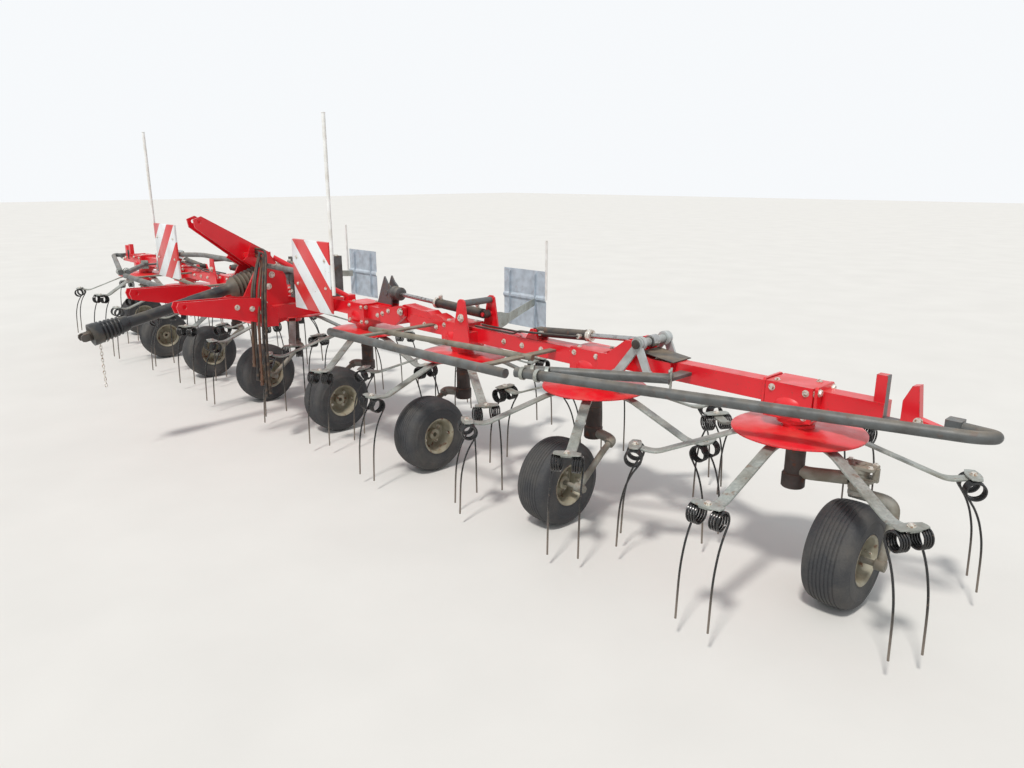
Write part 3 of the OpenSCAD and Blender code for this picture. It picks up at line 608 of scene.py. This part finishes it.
def stripes(name, side):
    """Red bands, 141 mm along x, that fall outwards at 45 degrees; a red and a white one together
    take band_pair of the board's side."""
    made = Finish(name, Roughness=0.35, Coat_Weight=0.3, Coat_Roughness=0.2)
    band_pair = 0.6667
    shift = 1.6433
    inner_edge = board_x - board_side / 2
    top_edge = board_z + board_side / 2
    slant = (made.along("X") * side - inner_edge) / board_side - (top_edge - made.along("Z")) / board_side
    red = ((slant + shift) / band_pair).fraction().band(0.498, 0.502)
    dirt = made.noise(12, 7.0).band(0.5, 0.8)
    nicks = made.noise(60, 3.0).band(0.68, 0.72)
    colour = made.mix(red, seen(226, 230, 232), seen(206, 34, 36))
    colour = made.mix(dirt * 0.3, colour, seen(140, 120, 104))
    colour = made.mix(nicks * 0.8, colour, seen(120, 100, 90))
    made.surface(Base_Color=colour, Roughness=dirt * 0.3 + 0.3)
    made.relief(made.noise(700, 2.0), 0.0002)
    return made


def rounded(corners, radius, steps=8):
    """Path whose inner corners are turned by a parabola: (1-t)^2 a + 2 t (1-t) c + t^2 b."""
    c = np.asarray(corners, float)
    t = np.linspace(0, 1, steps)[:, None]
    runs = [c[:1]]
    for before, corner, after in zip(c, c[1:], c[2:]):
        a = corner + (before - corner) * min(radius / np.linalg.norm(before - corner), 0.49)
        b = corner + (after - corner) * min(radius / np.linalg.norm(after - corner), 0.49)
        runs.append((1 - t) ** 2 * a + 2 * t * (1 - t) * corner + t**2 * b)
    runs.append(c[-1:])
    return np.concatenate(runs)


def bent_tube(corners, radius, sides=18, bend=0.05, across=(0, 0, 1)):
    """Round bar through the corners, bent at each."""
    return swept(rounded(corners, bend), ring(radius, sides), across)


pole_white = worn_paint("pole_white", seen(240, 240, 238), seen(218, 215, 208), 0.4, 0.0, 0.08)
arm_grey = worn_paint("arm_grey", seen(120, 122, 122), seen(90, 88, 84), 0.5, 0.4, 0.4)
for side, way in (("right", 1), ("left", -1)):
    board = set_at(folded_board(board_side), (way * board_x, -0.748, board_z))
    piece(side + "_front_board", [board], stripes(side + "_stripes", way), "frame", ["front_boards"])
arm_z = 1.18
clip_rows = (1.14, 1.30)
arm_line = [(body_face, -0.6, arm_z), (0.79, -0.6, arm_z), (0.93, -0.72, arm_z), (1.06, -0.72, arm_z)]
board_arm = [bent_tube(arm_line, 0.018, 16, 0.06)]
board_arm += [set_at(slab(0.09, 0.03, 0.004), (1.29, -0.738, z), (0, -1, 0)) for z in clip_rows]
piece("board_arms", both(board_arm), arm_grey, "frame", bevel=0.001)
pole_x = 1.3475
pole_y = -0.737
pole_top = 2.105
pole_line = [(pole_x, pole_y, z) for z in np.linspace(1.105, pole_top, 12)]
pole_cap = turned([(0.0105, 0), (0.012, 0.001), (0.012, 0.004), (0, 0.005)], 14)
pole = [swept(pole_line, ring(0.0105, 14), across=(0, 1, 0)), set_at(pole_cap, (pole_x, pole_y, pole_top))]
piece("marker_poles", both(pole), pole_white, "frame")
board_bolts = bolts([(x, -0.7485, z) for x in (0.96, 1.28) for z in clip_rows], (0, -1, 0), 0.009)
piece("board_bolts", both(board_bolts), zinc_plate, "frame")

# The inner wings: a humped cast inner end bolted to a square beam, two gear cases, tall ears
# with a rusty cross pin that catches the folded outer wing, and the cheeks of the fold hinge.
inner_x = centre_x + rotor_pitch
outer_x = inner_x + rotor_pitch
tip_x = outer_x + 1.14
tip_case_x = tip_x - 0.02
tip_lift = 0.03
ear_x = 1.757


def catch_pin_area(made):
    """1 on the cross pin between the two ears."""
    between_ears = made.along("Y").within(0.2515, 0.4785)
    return between_ears * made.along("Z").band(1.0, 1.002)


def pair(name, shapes, finish, body, stands_for=(), bevel=0.0):
    """A piece on a body of the right-hand side, and its mirror image on the same body of the left."""
    for side, made in (("right_", shapes), ("left_", mirrored(shapes))):
        piece(side + name, made, finish, side + body, [side + node for node in stands_for], bevel)


def coat_pair(name, finish):
    """Gives the same finish to a solid on the right and the one on the left."""
    coat_node("right_" + name, finish)
    coat_node("left_" + name, finish)


wing_red = red_paint("wing_red", catch_pin_area)
coat_pair("wing_beam", wing_red)
belly = [
    (0, 0.764), (0.092, 0.764), (0.1, 0.77), (0.104, 0.782),
    (0.103, 0.808), (0.096, 0.83), (0.082, 0.845), (0, 0.85),
]


def bulges(places, lift=0.0):
    """Round bellies of the gear cases, turned about the rotors' axes."""
    return [set_at(turned(belly, 48), (x, 0, lift)) for x in places]


piece("centre_bulges", both(bulges([centre_x])), wing_red, "frame")
pair("wing_bulges", bulges([inner_x, outer_x]), wing_red, "wing")
pair("tip_bulge", bulges([tip_case_x], tip_lift), wing_red, "tip")
wing_bolts = gear_case_bolts(inner_x) + gear_case_bolts(outer_x)
wing_bolts += bolt((ear_x, -0.127, 0.95), (0, -1, 0), 0.022)
wing_bolts += bolts([(x, -0.05, beam_z) for x in (1.30, 1.42, 2.05, 2.2, 2.35)], (0, -1, 0), 0.014)
pair("wing_bolts", wing_bolts, zinc_plate, "wing")

# The guards: bent steel tubes in dark grey paint that keep people off the tines, clamped to
# flat stays, with galvanised clamps where the outer guard overlaps the inner one.
tube_grey = worn_paint("guard_grey", seen(92, 96, 97), seen(74, 74, 72), 0.42, 0.3, 0.35)
strut_grey = worn_paint("strut_grey", seen(126, 124, 114), seen(104, 96, 82), 0.6, 0.45, 0.5)
galvanised = Finish("galvanised", Metallic=0.35)
spangle = {"Vector": galvanised.place, "Scale": 130.0}
flakes = galvanised.node("ShaderNodeTexVoronoi", {}, spangle, output="Color")
flake = galvanised.node("ShaderNodeSeparateXYZ", {}, {0: flakes})
grime = galvanised.noise(10, 7.0).band(0.42, 0.72)
streak = galvanised.noise(35, 6.0).band(0.6, 0.72) * 0.6
shade = galvanised.mix(flake, seen(150, 156, 152), seen(174, 178, 172))
shade = galvanised.mix(grime * 0.7, shade, seen(118, 112, 98))
shade = galvanised.mix(streak, shade, seen(122, 84, 58))
galvanised.surface(Base_Color=shade, Roughness=flake * 0.12 + 0.4 + grime * 0.2)
galvanised.relief(galvanised.noise(220, 4.0), 0.0007, 0.003)


def flat_section(wide, thick, flat, upright):
    """Rectangle with cut corners; flat and upright are the shares of its sides that stay straight."""
    x = wide / 2
    z = thick / 2
    half = np.array([(-x, -z * upright), (-x * flat, -z), (x * flat, -z), (x, -z * upright)])
    return np.concatenate([half, -half])


def flat_stay(a, b, wide, thick):
    """Flat bar from a to b, lying down."""
    return swept([a, b], flat_section(wide, thick, 0.97, 0.6))


guard_z = 0.852
tip_guard_z = 0.875
guard_radius = 0.024
guard_line = [(1.14, -0.655, guard_z), (1.9, -0.64, guard_z), (2.64, -0.60, guard_z)]
wing_guard = [bent_tube(guard_line, guard_radius, 20, 0.4)]
wing_stays = [flat_stay((x, -0.63, guard_z), (x, -0.04, guard_z), 0.05, 0.012) for x in (1.39, 2.44)]
wing_stays += [bent_tube([(1.24, -0.43, guard_z), (2.5, -0.27, guard_z)], 0.017, 16)]
tip_corners = [(2.72, -0.61), (4.54, -0.10), (4.605, -0.04), (4.453, -0.018)]
tip_line = rounded([(x, y, tip_guard_z) for x, y in tip_corners], 0.05, 10)
branch = [(2.72, -0.55, tip_guard_z), (3.3, -0.19, tip_guard_z)]
tip_guard = [swept(tip_line, ring(guard_radius, 20)), bent_tube(branch, guard_radius, 20)]
tip_guard += [flat_stay((3.29, -0.23, tip_guard_z), (3.29, -0.03, tip_guard_z), 0.06, 0.016)]
socket = [
    (4.416, -0.048), (4.466, -0.048), (4.469, -0.045), (4.469, 0.009),
    (4.466, 0.012), (4.416, 0.012), (4.413, 0.009), (4.413, -0.045),
]
tip_guard += [set_at(plate(socket, 0.058), (0, 0, 0.846))]
outer_way = (0.97, 0.24, 0)
branch_way = (0.85, 0.53, 0)
clamp_ring = turned([(0.0255, -0.009), (0.031, -0.009), (0.031, 0.009), (0.0255, 0.009)], 24, True)
clamps = []
for x, y in ((2.76, -0.58), (2.84, -0.565)):
    clamps += [set_at(clamp_ring, (x, y - 0.02, tip_guard_z), outer_way)]
    clamps += [set_at(clamp_ring, (x, y + 0.045, tip_guard_z), branch_way)]
clamps += [set_at(slab(0.088, 0.068, 0.01), (3.298, -0.186, tip_guard_z), branch_way, (0, 0, 1))]
clamps += bolts([(3.285, -0.163, z) for z in (0.85, 0.90)], (-0.85, -0.53, 0), 0.013)
pair("wing_guard_tube", wing_guard, tube_grey, "wing", ["wing_guard"])
pair("wing_stays", wing_stays, strut_grey, "wing")
pair("tip_guard_tubes", tip_guard, tube_grey, "tip", ["tip_guard"])
pair("guard_clamps", clamps, galvanised, "tip")


# The masts and wheel legs: a thick tube that comes down through each rotor, a cast elbow at
# its foot, and a bent round leg with a hub end that carries the axle beside the wheel.
mast_finish = worn_paint("mast_brown", seen(70, 60, 56), seen(52, 44, 40), 0.6, 0.7, 0.35)
leg_finish = worn_paint("leg_grey", seen(146, 145, 137), seen(116, 110, 98), 0.55, 0.4, 0.35)


def fixed_mast(x, foot=0.45, top=0.725):
    """Mast with its collar, a clamp ring and the elbow's boss, turned about the rotor's axis."""
    above_foot = [
        (0, -0.05), (0.046, -0.05), (0.0505, -0.045), (0.0505, 0.01), (0.0465, 0.016),
        (0.0425, 0.018), (0.0425, 0.12), (0.0445, 0.122), (0.0445, 0.13), (0.0425, 0.132),
    ]
    profile = [(radius, foot + z) for radius, z in above_foot] + [(0.0425, top), (0, top)]
    return [set_at(turned(profile, 40), (x, 0, 0))]


axle_y = -0.28
axle_z = 0.2285
axle_boss = [(0, -0.022), (0.022, -0.022), (0.024, -0.02), (0.024, 0.02), (0.022, 0.022), (0, 0.022)]
axle_bar = [(0, -0.16), (0.012, -0.16), (0.0125, -0.158), (0.0125, 0.03), (0, 0.03)]
axle_nut = [(0, 0.022), (0.02, 0.022), (0.02, 0.036), (0.018, 0.038), (0, 0.038)]


def wheel_leg(x, way):
    """Elbow, leg and axle of a wheel, on the side of it that way says: 1 outer, -1 inner."""
    side = x + way * 0.148
    elbow = [(x, 0, 0.435), (x + way * 0.06, -0.006, 0.432), (side, -0.02, 0.425), (side, -0.05, 0.41)]
    leg = [(side, -0.012, 0.428), (side, -0.085, 0.39), (side, axle_y, axle_z)]
    shapes = [bent_tube(elbow, 0.027), bent_tube(leg, 0.017, across=(1, 0, 0))]
    for profile, sides in ((axle_boss, 24), (axle_bar, 20), (axle_nut, 6)):
        shapes.append(set_at(turned(profile, sides), (side, axle_y, axle_z), (way, 0, 0)))
    return shapes


centre_legs = wheel_leg(centre_x, -1)
wing_legs = wheel_leg(inner_x, -1) + wheel_leg(outer_x, 1)
piece("centre_masts", both(fixed_mast(centre_x)), mast_finish, "frame")
piece("centre_wheel_legs", both(centre_legs), leg_finish, "frame", ["centre_legs"])
pair("wing_masts", fixed_mast(inner_x) + fixed_mast(outer_x), mast_finish, "wing")
pair("wing_wheel_legs", wing_legs, leg_finish, "wing", ["wing_legs"])

# The rear boards: pale pressed sheets with two upright ribs and a fold across, each on a
# tapered galvanised arm from the ears, with a thin white rod beside it. The sheets' blue-grey
# is partly their own paint and partly a painted reflection of the sky.
# Partly the sheet's own pale paint and partly a painted reflection of the sky, which gives the blue-grey.
pale_sheet_with_painted_sky = worn_paint("pale_sheet_with_painted_sky", seen(190, 203, 214), seen(166, 177, 187), 0.5, 0.15, 0.25)
sheet_y = 1.07
sheet_foot = 0.65
front_face = np.array([(0, 0), (0, 0.21), (-0.012, 0.225), (-0.012, 0.24), (0, 0.255), (0, 0.44)])
back_face = front_face[::-1] + [0.003, 0]
sheet_section = np.concatenate([front_face, back_face])[:, ::-1]
rear_sheet = [swept([(0.875, sheet_y, sheet_foot), (1.325, sheet_y, sheet_foot)], sheet_section, (0, 1, 0))]
rib = plate([(0, 0), (0, 0.42), (-0.02, 0.40), (-0.024, 0.02)], 0.004)
rear_sheet += [set_at(rib, (x, sheet_y, sheet_foot + 0.01), (1, 0, 0), (0, 1, 0)) for x in (0.95, 1.22)]
pair("rear_sheet", rear_sheet, pale_sheet_with_painted_sky, "wing", ["rear_board"])
rear_arm_line = rounded([(ear_x, 0.127, 0.90), (1.697, 0.3, 0.88), (1.235, 1.04, 0.86)], 0.08)
rear_arm_section = np.array([(-0.006, -0.055), (0.006, -0.055), (0.006, 0.055), (-0.006, 0.055)])
taper = np.linspace(1.0, 0.5, len(rear_arm_line))
rear_arm = swept(rear_arm_line, rear_arm_section, scale=taper)
pair("board_arm", [rear_arm], galvanised, "wing", bevel=0.001)
rear_rod = bent_tube([(1.34, 1.056, 0.88), (1.34, 1.056, 1.32)], 0.009, 12, across=(0, 1, 0))
pair("rear_rod", [rear_rod], pole_white, "wing")

# The outer wings: a tongue in the fold hinge, a slimmer square beam, one gear case, and the
# flared catch bracket with its worn slot at the tip.
def slot_area(made):
    """1 inside the catch bracket's slot, where the pin has worn the paint off."""
    along = abs(made.along("X")).within(4.185, 4.261, 0.001)
    return along * made.along("Y").within(0.3315, 0.3685) * made.along("Z").band(0.85, 0.852)


tip_red = red_paint("tip_red", slot_area)
coat_pair("tip_beam", tip_red)
tip_bolts = gear_case_bolts(tip_case_x, tip_lift)
tip_bolts += bolts([(4.398, -0.035, 0.848), (4.32, -0.035, 0.868)], (0, -1, 0), 0.016)
tip_bolts += bolts([(3.943, y, z) for y in (-0.062, 0.062) for z in (0.812, 0.912)], (1, 0, 0), 0.015)
tip_bolts += bolts([(3.13, y, 0.9205) for y in (-0.05, 0.05)], (0, 0, 1), 0.011)
pair("tip_bolts", tip_bolts, zinc_plate, "tip")
flange = [
    (-0.076, -0.075), (0.076, -0.075), (0.08, -0.07), (0.08, 0.056),
    (0.07, 0.066), (-0.07, 0.066), (-0.08, 0.056), (-0.08, -0.07),
]
case_flanges = [
    set_at(plate(flange, 0.014), (x, 0, beam_z + tip_lift), (1, 0, 0), (0, 1, 0))
    for x in (tip_case_x + 0.109, tip_case_x - 0.123)
]
pair("case_flanges", case_flanges, tip_red, "tip", bevel=0.0015)
cover_grey = worn_paint("cover_grey", seen(70, 72, 74), seen(84, 78, 70), 0.5, 0.35, 0.4)
cover = flat_stay((3.048, 0, 0.944), (3.238, 0, 0.9195), 0.15, 0.005)
pair("tongue_cover", [cover], cover_grey, "tip")

# The outer masts and swivel forks: a mast with a cast elbow to a swivel block, and under it
# the fork whose curved arm goes down beside the wheel to its axle.
housing = worn_paint("swivel_housing", seen(150, 148, 137), seen(124, 117, 104), 0.6, 0.35, 0.35)
swivel_x = 4.1
swivel_y = 0.05
swivel = (swivel_x, swivel_y, 0)
block_profile = [
    (0.0205, 0.505), (0.04, 0.505), (0.042, 0.51), (0.042, 0.53), (0.038, 0.535),
    (0.038, 0.58), (0.042, 0.585), (0.042, 0.612), (0.04, 0.617), (0.0205, 0.617),
]
lug = [
    (-0.062, -0.042), (0.058, -0.042), (0.066, -0.034), (0.066, 0.034),
    (0.058, 0.042), (-0.062, 0.042), (-0.07, 0.034), (-0.07, -0.034),
]
stop = [(-0.012, 0), (0.012, 0), (0.012, 0.06), (-0.012, 0.06)]
elbow_line = [(tip_x, 0, 0.545), (3.88, 0.004, 0.527), (4.06, 0.042, 0.545)]
block = [set_at(turned(block_profile, 36, True), swivel)]
block += [set_at(plate(lug, 0.013), (swivel_x, swivel_y, z)) for z in (0.603, 0.552)]
block += [set_at(plate(stop, 0.02), (4.165, 0.06, 0.553), (0, -1, 0)), bent_tube(elbow_line, 0.029)]
lug_places = [(swivel_x + x, swivel_y + y, 0.616) for x in (-0.054, 0.05) for y in (-0.028, 0.028)]
block_bolts = bolts(lug_places, (0, 0, 1), 0.011) + bolt((swivel_x, 0.0085, 0.565), (0, -1, 0), 0.014)
pair("outer_mast", fixed_mast(tip_x, 0.505, 0.755), mast_finish, "tip")
pair("swivel_block", block, housing, "tip", ["tip_mast"], bevel=0.0015)
pair("swivel_bolts", block_bolts, zinc_plate, "tip")
fork_pin = [
    (0, 0.48), (0.036, 0.48), (0.04, 0.484), (0.04, 0.498),
    (0.036, 0.504), (0.02, 0.504), (0.02, 0.62), (0, 0.622),
]
fork_axle_x = 4.248
fork_axle_y = -0.01
fork_hub = [(0, -0.022), (0.022, -0.022), (0.024, -0.02), (0.024, 0.02), (0, 0.022)]
fork_axle = [(0, -0.188), (0.012, -0.188), (0.0125, 0.022), (0, 0.022)]
fork_corners = [(x, swivel_y, z) for x, z in ((4.07, 0.487), (4.25, 0.487), (4.254, 0.40))]
fork_corners += [(4.25, 0.03, 0.31), (fork_axle_x, fork_axle_y, axle_z)]
fork_line = rounded(fork_corners, 0.05)
fork_taper = np.linspace(1.0, 0.72, len(fork_line))
fork = [set_at(turned(fork_pin, 32), swivel), swept(fork_line, ring(0.026, 18), (0, 1, 0), fork_taper)]
for profile, sides in ((fork_hub, 24), (fork_axle, 20)):
    fork.append(set_at(turned(profile, sides), (fork_axle_x, fork_axle_y, axle_z), (1, 0, 0)))
pair("fork", fork, leg_finish, "fork", ["swivel_fork"])

# The cylinders and the knee of the fold: black painted barrels with a silver gland, chromed
# rods, and zinc-plated links cut from thick plate.
barrel_black = worn_paint("barrel_black", seen(38, 38, 40), seen(58, 50, 44), 0.4, 0.45, 0.35)
rod_chrome = Finish("rod_chrome", Metallic=0.9, Roughness=0.18)
film = rod_chrome.noise(50, 5.0).band(0.5, 0.75)
chrome = rod_chrome.mix(film, seen(176, 176, 176), seen(90, 74, 62))
rod_chrome.surface(Base_Color=chrome, Roughness=film * 0.4 + 0.15)
link_zinc = worn_paint("link_zinc", seen(190, 196, 196), seen(160, 163, 160), 0.36, 0.25, 0.25, metal=0.3)
coat_pair("lift_barrel", barrel_black)
coat_pair("fold_barrel", barrel_black)
coat_pair("lift_rod", rod_chrome)
coat_pair("fold_rod", rod_chrome)
coat_pair("inner_link", link_zinc)
coat_pair("outer_link", link_zinc)
gland = np.array([
    (0.0165, -0.022), (0.0345, -0.022), (0.0355, -0.019), (0.0355, -0.002), (0.033, 0.003), (0.0165, 0.003),
])
rod_collar = [
    (0.016, 0), (0.044, 0), (0.047, 0.006), (0.047, 0.034), (0.04, 0.04),
    (0.04, 0.062), (0.046, 0.066), (0.046, 0.084), (0.016, 0.09),
]
port = turned([(0, -0.006), (0.011, -0.006), (0.011, 0.012), (0.0135, 0.013), (0.0135, 0.026), (0, 0.026)], 6)
lift_way = np.array([-0.997, 0, 0.035]) / np.hypot(0.997, 0.035)
fold_way = np.array([0.78, 0, 0.065]) / np.hypot(0.78, 0.065)
lift_y = 0.072
lift_foot = np.array([ear_x, lift_y, 0.95])
fold_foot = np.array([2.28, 0, 0.925])
lift_parts = [set_at(turned(gland, 36, True), lift_foot + lift_way * 0.482, lift_way)]
lift_parts += [set_at(port, lift_foot + lift_way * k + [0, 0, 0.03], (0, -0.3, 1)) for k in (0.07, 0.43)]
pair("lift_gland", lift_parts, zinc_plate, "lift_barrel")
fold_parts = [set_at(turned(gland * [0.93, 1], 36, True), fold_foot + fold_way * 0.392, fold_way)]
fold_parts += [set_at(port, fold_foot + fold_way * k + [0, -0.028, 0], (0, -1, 0)) for k in (0.06, 0.34)]
pair("fold_gland", fold_parts, zinc_plate, "fold_barrel")
rod_eye = np.array([0.76, lift_y, 0.985])
lift_collar = set_at(turned(rod_collar, 36, True), rod_eye - lift_way * 0.04, -lift_way)
pair("lift_collar", [lift_collar], cast_grey, "lift_rod")
pipe_black = worn_paint("pipe_black", seen(34, 34, 36), seen(60, 54, 48), 0.4, 0.3, 0.3)
pipe_z = 0.896
pipes = []
for y, port_at, beside in ((-0.044, 0.34, -0.079), (0.014, 0.06, -0.066)):
    end = fold_foot + fold_way * port_at + [0, -0.05, 0]
    on_beam = [(1.79, y, pipe_z), (2.13, y, pipe_z), (2.19, beside, 0.925)]
    pipes.append(bent_tube(on_beam + [end + [-0.03, beside + 0.05, 0], end], 0.006, 10, 0.03))
pair("wing_pipes", pipes, pipe_black, "wing")
knee_x = 3.06
knee_z = 0.99
ring_profile = [
    (0.021, -0.011), (0.0345, -0.011), (0.0355, -0.009), (0.0355, 0.009), (0.0345, 0.011), (0.021, 0.011),
]
cap_profile = [(0, -0.004), (0.0215, -0.004), (0.0225, -0.002), (0.0225, 0.004), (0.019, 0.006), (0, 0.006)]
knee_rings = []
knee_caps = []
for way in (-1, 1):
    knee_rings.append(set_at(turned(ring_profile, 40, True), (knee_x, way * 0.1, knee_z), (0, 1, 0)))
    knee_caps.append(set_at(turned(cap_profile, 30), (knee_x, way * 0.135, knee_z), (0, way, 0)))
pair("knee_rings", knee_rings, link_zinc, "inner_link")
pair("knee_caps", knee_caps, barrel_black, "outer_link")


# The rotors: a red pressed plate on a hub, six galvanised arms bolted under it, and on each arm
# a double spring tine of black wire, wound into two coils and held by a clamp plate.
mast_bore = 0.0435
plate_z = 0.69


def rotor_plate():
    """Dished plate and hub turned about the rotor's axis; heights are from the plate's level."""
    section = [
        (mast_bore, -0.07), (0.064, -0.07), (0.0675, -0.065), (0.0675, -0.016), (0.075, -0.014),
        (0.19, -0.014), (0.2, -0.01), (0.2, -0.001), (0.272, -0.003), (0.28, -0.006), (0.28, 0),
        (0.27, 0.004), (0.21, 0.006), (0.19, 0.012), (0.09, 0.014), (0.0675, 0.016),
        (0.0675, 0.0315), (mast_bore, 0.0315),
    ]
    return turned([(radius, plate_z + z) for radius, z in section], 72, True)


def turn_about_z(shape, degrees):
    """The shape turned about the Z axis."""
    a = math.radians(degrees)
    about = np.array([[math.cos(a), math.sin(a), 0], [-math.sin(a), math.cos(a), 0], [0, 0, 1]])
    return shape[0] @ about, shape[1]


def tine_arm():
    """Flat bar 50 x 11 from under the plate, out and down to its kink, and up to the clamp."""
    line = rounded([(0.12, 0, 0.671), (0.25, 0, 0.66), (0.60, 0, 0.524), (0.72, 0, 0.545)], 0.035, 8)
    return swept(line, flat_section(0.05, 0.011, 0.95, 0.5))


coil_x = 0.695
coil_radius = 0.0375


def spring_tine(way, turns=4.0):
    """One half of a double tine: a hook under the clamp, a helix about the Y axis with
    x = c - R sin a, z = h + R cos a, y rising by pitch a turn, and a long leg bowed outwards."""
    first_y = 0.024
    pitch = 0.0112
    a = np.linspace(0, 2 * np.pi * (turns + 0.36), int(30 * turns))
    y = way * (first_y + pitch * a / (2 * np.pi))
    coil = np.stack([coil_x - coil_radius * np.sin(a), y, 0.502 + coil_radius * np.cos(a)], -1)
    bow = ((0.702, 0.42), (0.728, 0.35), (0.746, 0.25), (0.7545, 0.063))
    leg = flowing([coil[-1]] + [(x, y[-1], z) for x, z in bow], 6)[1:]
    hook = [(0.70, 0.0, 0.5395), (0.699, way * 0.012, 0.5395)]
    return swept(np.concatenate([hook, coil, leg]), ring(0.0047, 8), (0, 1, 0.02))


def clamp_plate():
    """Cap over the two coils."""
    half = np.array([(-0.062, -0.02), (-0.066, 0), (-0.062, 0.02), (-0.02, 0.03), (0.02, 0.03)])
    return set_at(plate(np.concatenate([half, -half]), 0.005), (coil_x, 0, 0.5475), (0, 0, 1), (0, 1, 0))


plate_red = red_paint("rotor_red")
tine_black = Finish("tine_black", Coat_Weight=0.4, Coat_Roughness=0.15, Metallic=0.3)
worn = (tine_black.along("Z") * -1 + tine_black.noise(60, 3.0) * 0.12).band(-0.24, -0.06)
scuffed = tine_black.noise(120, 4.0).band(0.62, 0.7)
tine_colour = tine_black.mix(worn, seen(26, 26, 27), seen(120, 110, 100))
tine_colour = tine_black.mix(scuffed * 0.6, tine_colour, seen(110, 92, 78))
tine_black.surface(Base_Color=tine_colour, Roughness=worn * 0.15 + 0.26 + scuffed * 0.2)
arm_shapes = [tine_arm(), clamp_plate()]
tine_shapes = [spring_tine(-1), spring_tine(1)]
fixing_shapes = bolts([(0.15, -0.015, 0.664), (0.15, 0.015, 0.664), (0.19, 0, 0.661)], (0, 0, -1), 0.012)
fixing_shapes += bolt((coil_x, 0, 0.5525), (0, 0, 1), 0.014)


def six_times(shapes, phase):
    """The shapes at every sixth of a turn, from the first arm's angle on."""
    return [turn_about_z(shape, phase + k * 60) for k in range(6) for shape in shapes]


rotor_places = (-tip_x, -outer_x, -inner_x, -centre_x, centre_x, inner_x, outer_x, tip_x)
rotor_phases = (0, 30, 0, 30, 0, 30, 0, 30)
for number, (x, phase) in enumerate(zip(rotor_places, rotor_phases), 1):
    body = "rotor_%d" % number
    at = (x, back, tip_lift if abs(x) == tip_x else 0)
    piece(body + "_plate", [rotor_plate()], plate_red, body, [body], shift=at)
    piece(body + "_arms", six_times(arm_shapes, phase), galvanised, body, [body], shift=at)
    piece(body + "_tines", six_times(tine_shapes, phase), tine_black, body, [body], shift=at)
    piece(body + "_bolts", six_times(fixing_shapes, phase), zinc_plate, body, shift=at)


# The wheels: low implement tyres with fine grooves round the tread, on pressed steel rims
# with a welded hub, painted cream-grey and rusting round the hub and bead.
def tyre_profile():
    """Closed section of the tyre, (r, x): a crown with seven grooves, two shoulders and walls."""
    half = 0.066
    groove_pitch = 0.0165
    groove_depth = 0.0035
    x = np.linspace(-half, half, 113)
    crown = axle_z - 0.0045 * (x / half) ** 2 - 0.004 * np.clip(np.abs(x) / half, 0, 1) ** 8
    groove = np.clip(1.6 - np.abs((x / groove_pitch + 0.5) % 1 - 0.5) * 9, 0, 1)
    tread = np.stack([crown - groove_depth * groove * (np.abs(x) < 0.06), x], -1)
    wall = np.array([
        (0.2185, 0.076), (0.213, 0.084), (0.2045, 0.0915), (0.192, 0.0965), (0.178, 0.0985),
        (0.1765, 0.0998), (0.1675, 0.1), (0.166, 0.0985), (0.15, 0.0985), (0.135, 0.097),
        (0.1245, 0.0945), (0.1185, 0.094), (0.1165, 0.095), (0.1105, 0.093), (0.1045, 0.089),
        (0.1025, 0.086),
    ])
    return np.concatenate([tread, wall, (wall * [1, -1])[::-1]])


def rim_profile():
    """Closed section of the rim, (r, x): bead flanges, well and disc, with the hub tube through it."""
    outer = np.array([
        (0.1025, 0.086), (0.1085, 0.088), (0.1125, 0.0925), (0.1115, 0.0955), (0.107, 0.0925),
        (0.102, 0.0905), (0.0985, 0.086), (0.0965, 0.06), (0.089, 0.05), (0.0865, 0.012),
        (0.08, 0.008), (0.06, 0.012), (0.045, 0.02), (0.038, 0.022), (0.036, 0.024),
        (0.036, 0.048), (0.033, 0.05), (0.0135, 0.05),
    ])
    return np.concatenate([outer, (outer * [1, -1])[::-1], [(0.093, -0.05), (0.0945, 0.0)]])


tyre_rubber = Finish("tyre_rubber", Roughness=0.75)
mud = tyre_rubber.noise(7, 8.0).band(0.42, 0.75)
fine = tyre_rubber.noise(120, 4.0).band(0.35, 0.7)
tyre_colour = tyre_rubber.mix(mud * 0.5 + fine * 0.14, seen(48, 50, 54), seen(104, 100, 94))
tyre_rubber.surface(Base_Color=tyre_colour, Roughness=mud * 0.15 + 0.68)
tyre_rubber.relief(tyre_rubber.noise(160, 5.0), 0.0012)
rim_cream = worn_paint("rim_cream", seen(164, 160, 142), seen(132, 124, 104), 0.5, 0.9, 0.3)
tyre_shape = turned(tyre_profile(), 96, True)
rim_shape = turned(rim_profile(), 72, True)
bolt_circle = 0.062
bolt_angles = np.arange(4) * math.pi / 2 + 0.6
bolt_places = [(bolt_circle * math.cos(a), bolt_circle * math.sin(a), 0.0125) for a in bolt_angles]
valve = turned([(0, 0), (0.004, 0), (0.004, 0.03), (0.0025, 0.034), (0, 0.034)], 10)
fittings = bolts(bolt_places, (0, 0, 1), 0.012) + [set_at(valve, (0.088, 0, 0.05), (-0.35, 0, 1))]
wheel_places = [(swivel_x, fork_axle_y)] + [(x, axle_y) for x in (outer_x, inner_x, centre_x)]
wheel_places = [(-x, y) for x, y in wheel_places] + wheel_places[::-1]
for number, (x, y) in enumerate(wheel_places, 1):
    body = "wheel_%d" % number
    tyre = "tyre_%d" % number
    rim = "rim_%d" % number
    at = (x, y, axle_z)
    facing = (1 if x > 0 else -1, 0, 0)
    piece(tyre + "_tread", [set_at(tyre_shape, at, facing)], tyre_rubber, body, [tyre])
    piece(rim + "_disc", [set_at(rim_shape, at, facing)], rim_cream, body, [rim])
    piece(rim + "_bolts", [set_at(shape, at, facing) for shape in fittings], zinc_plate, body)
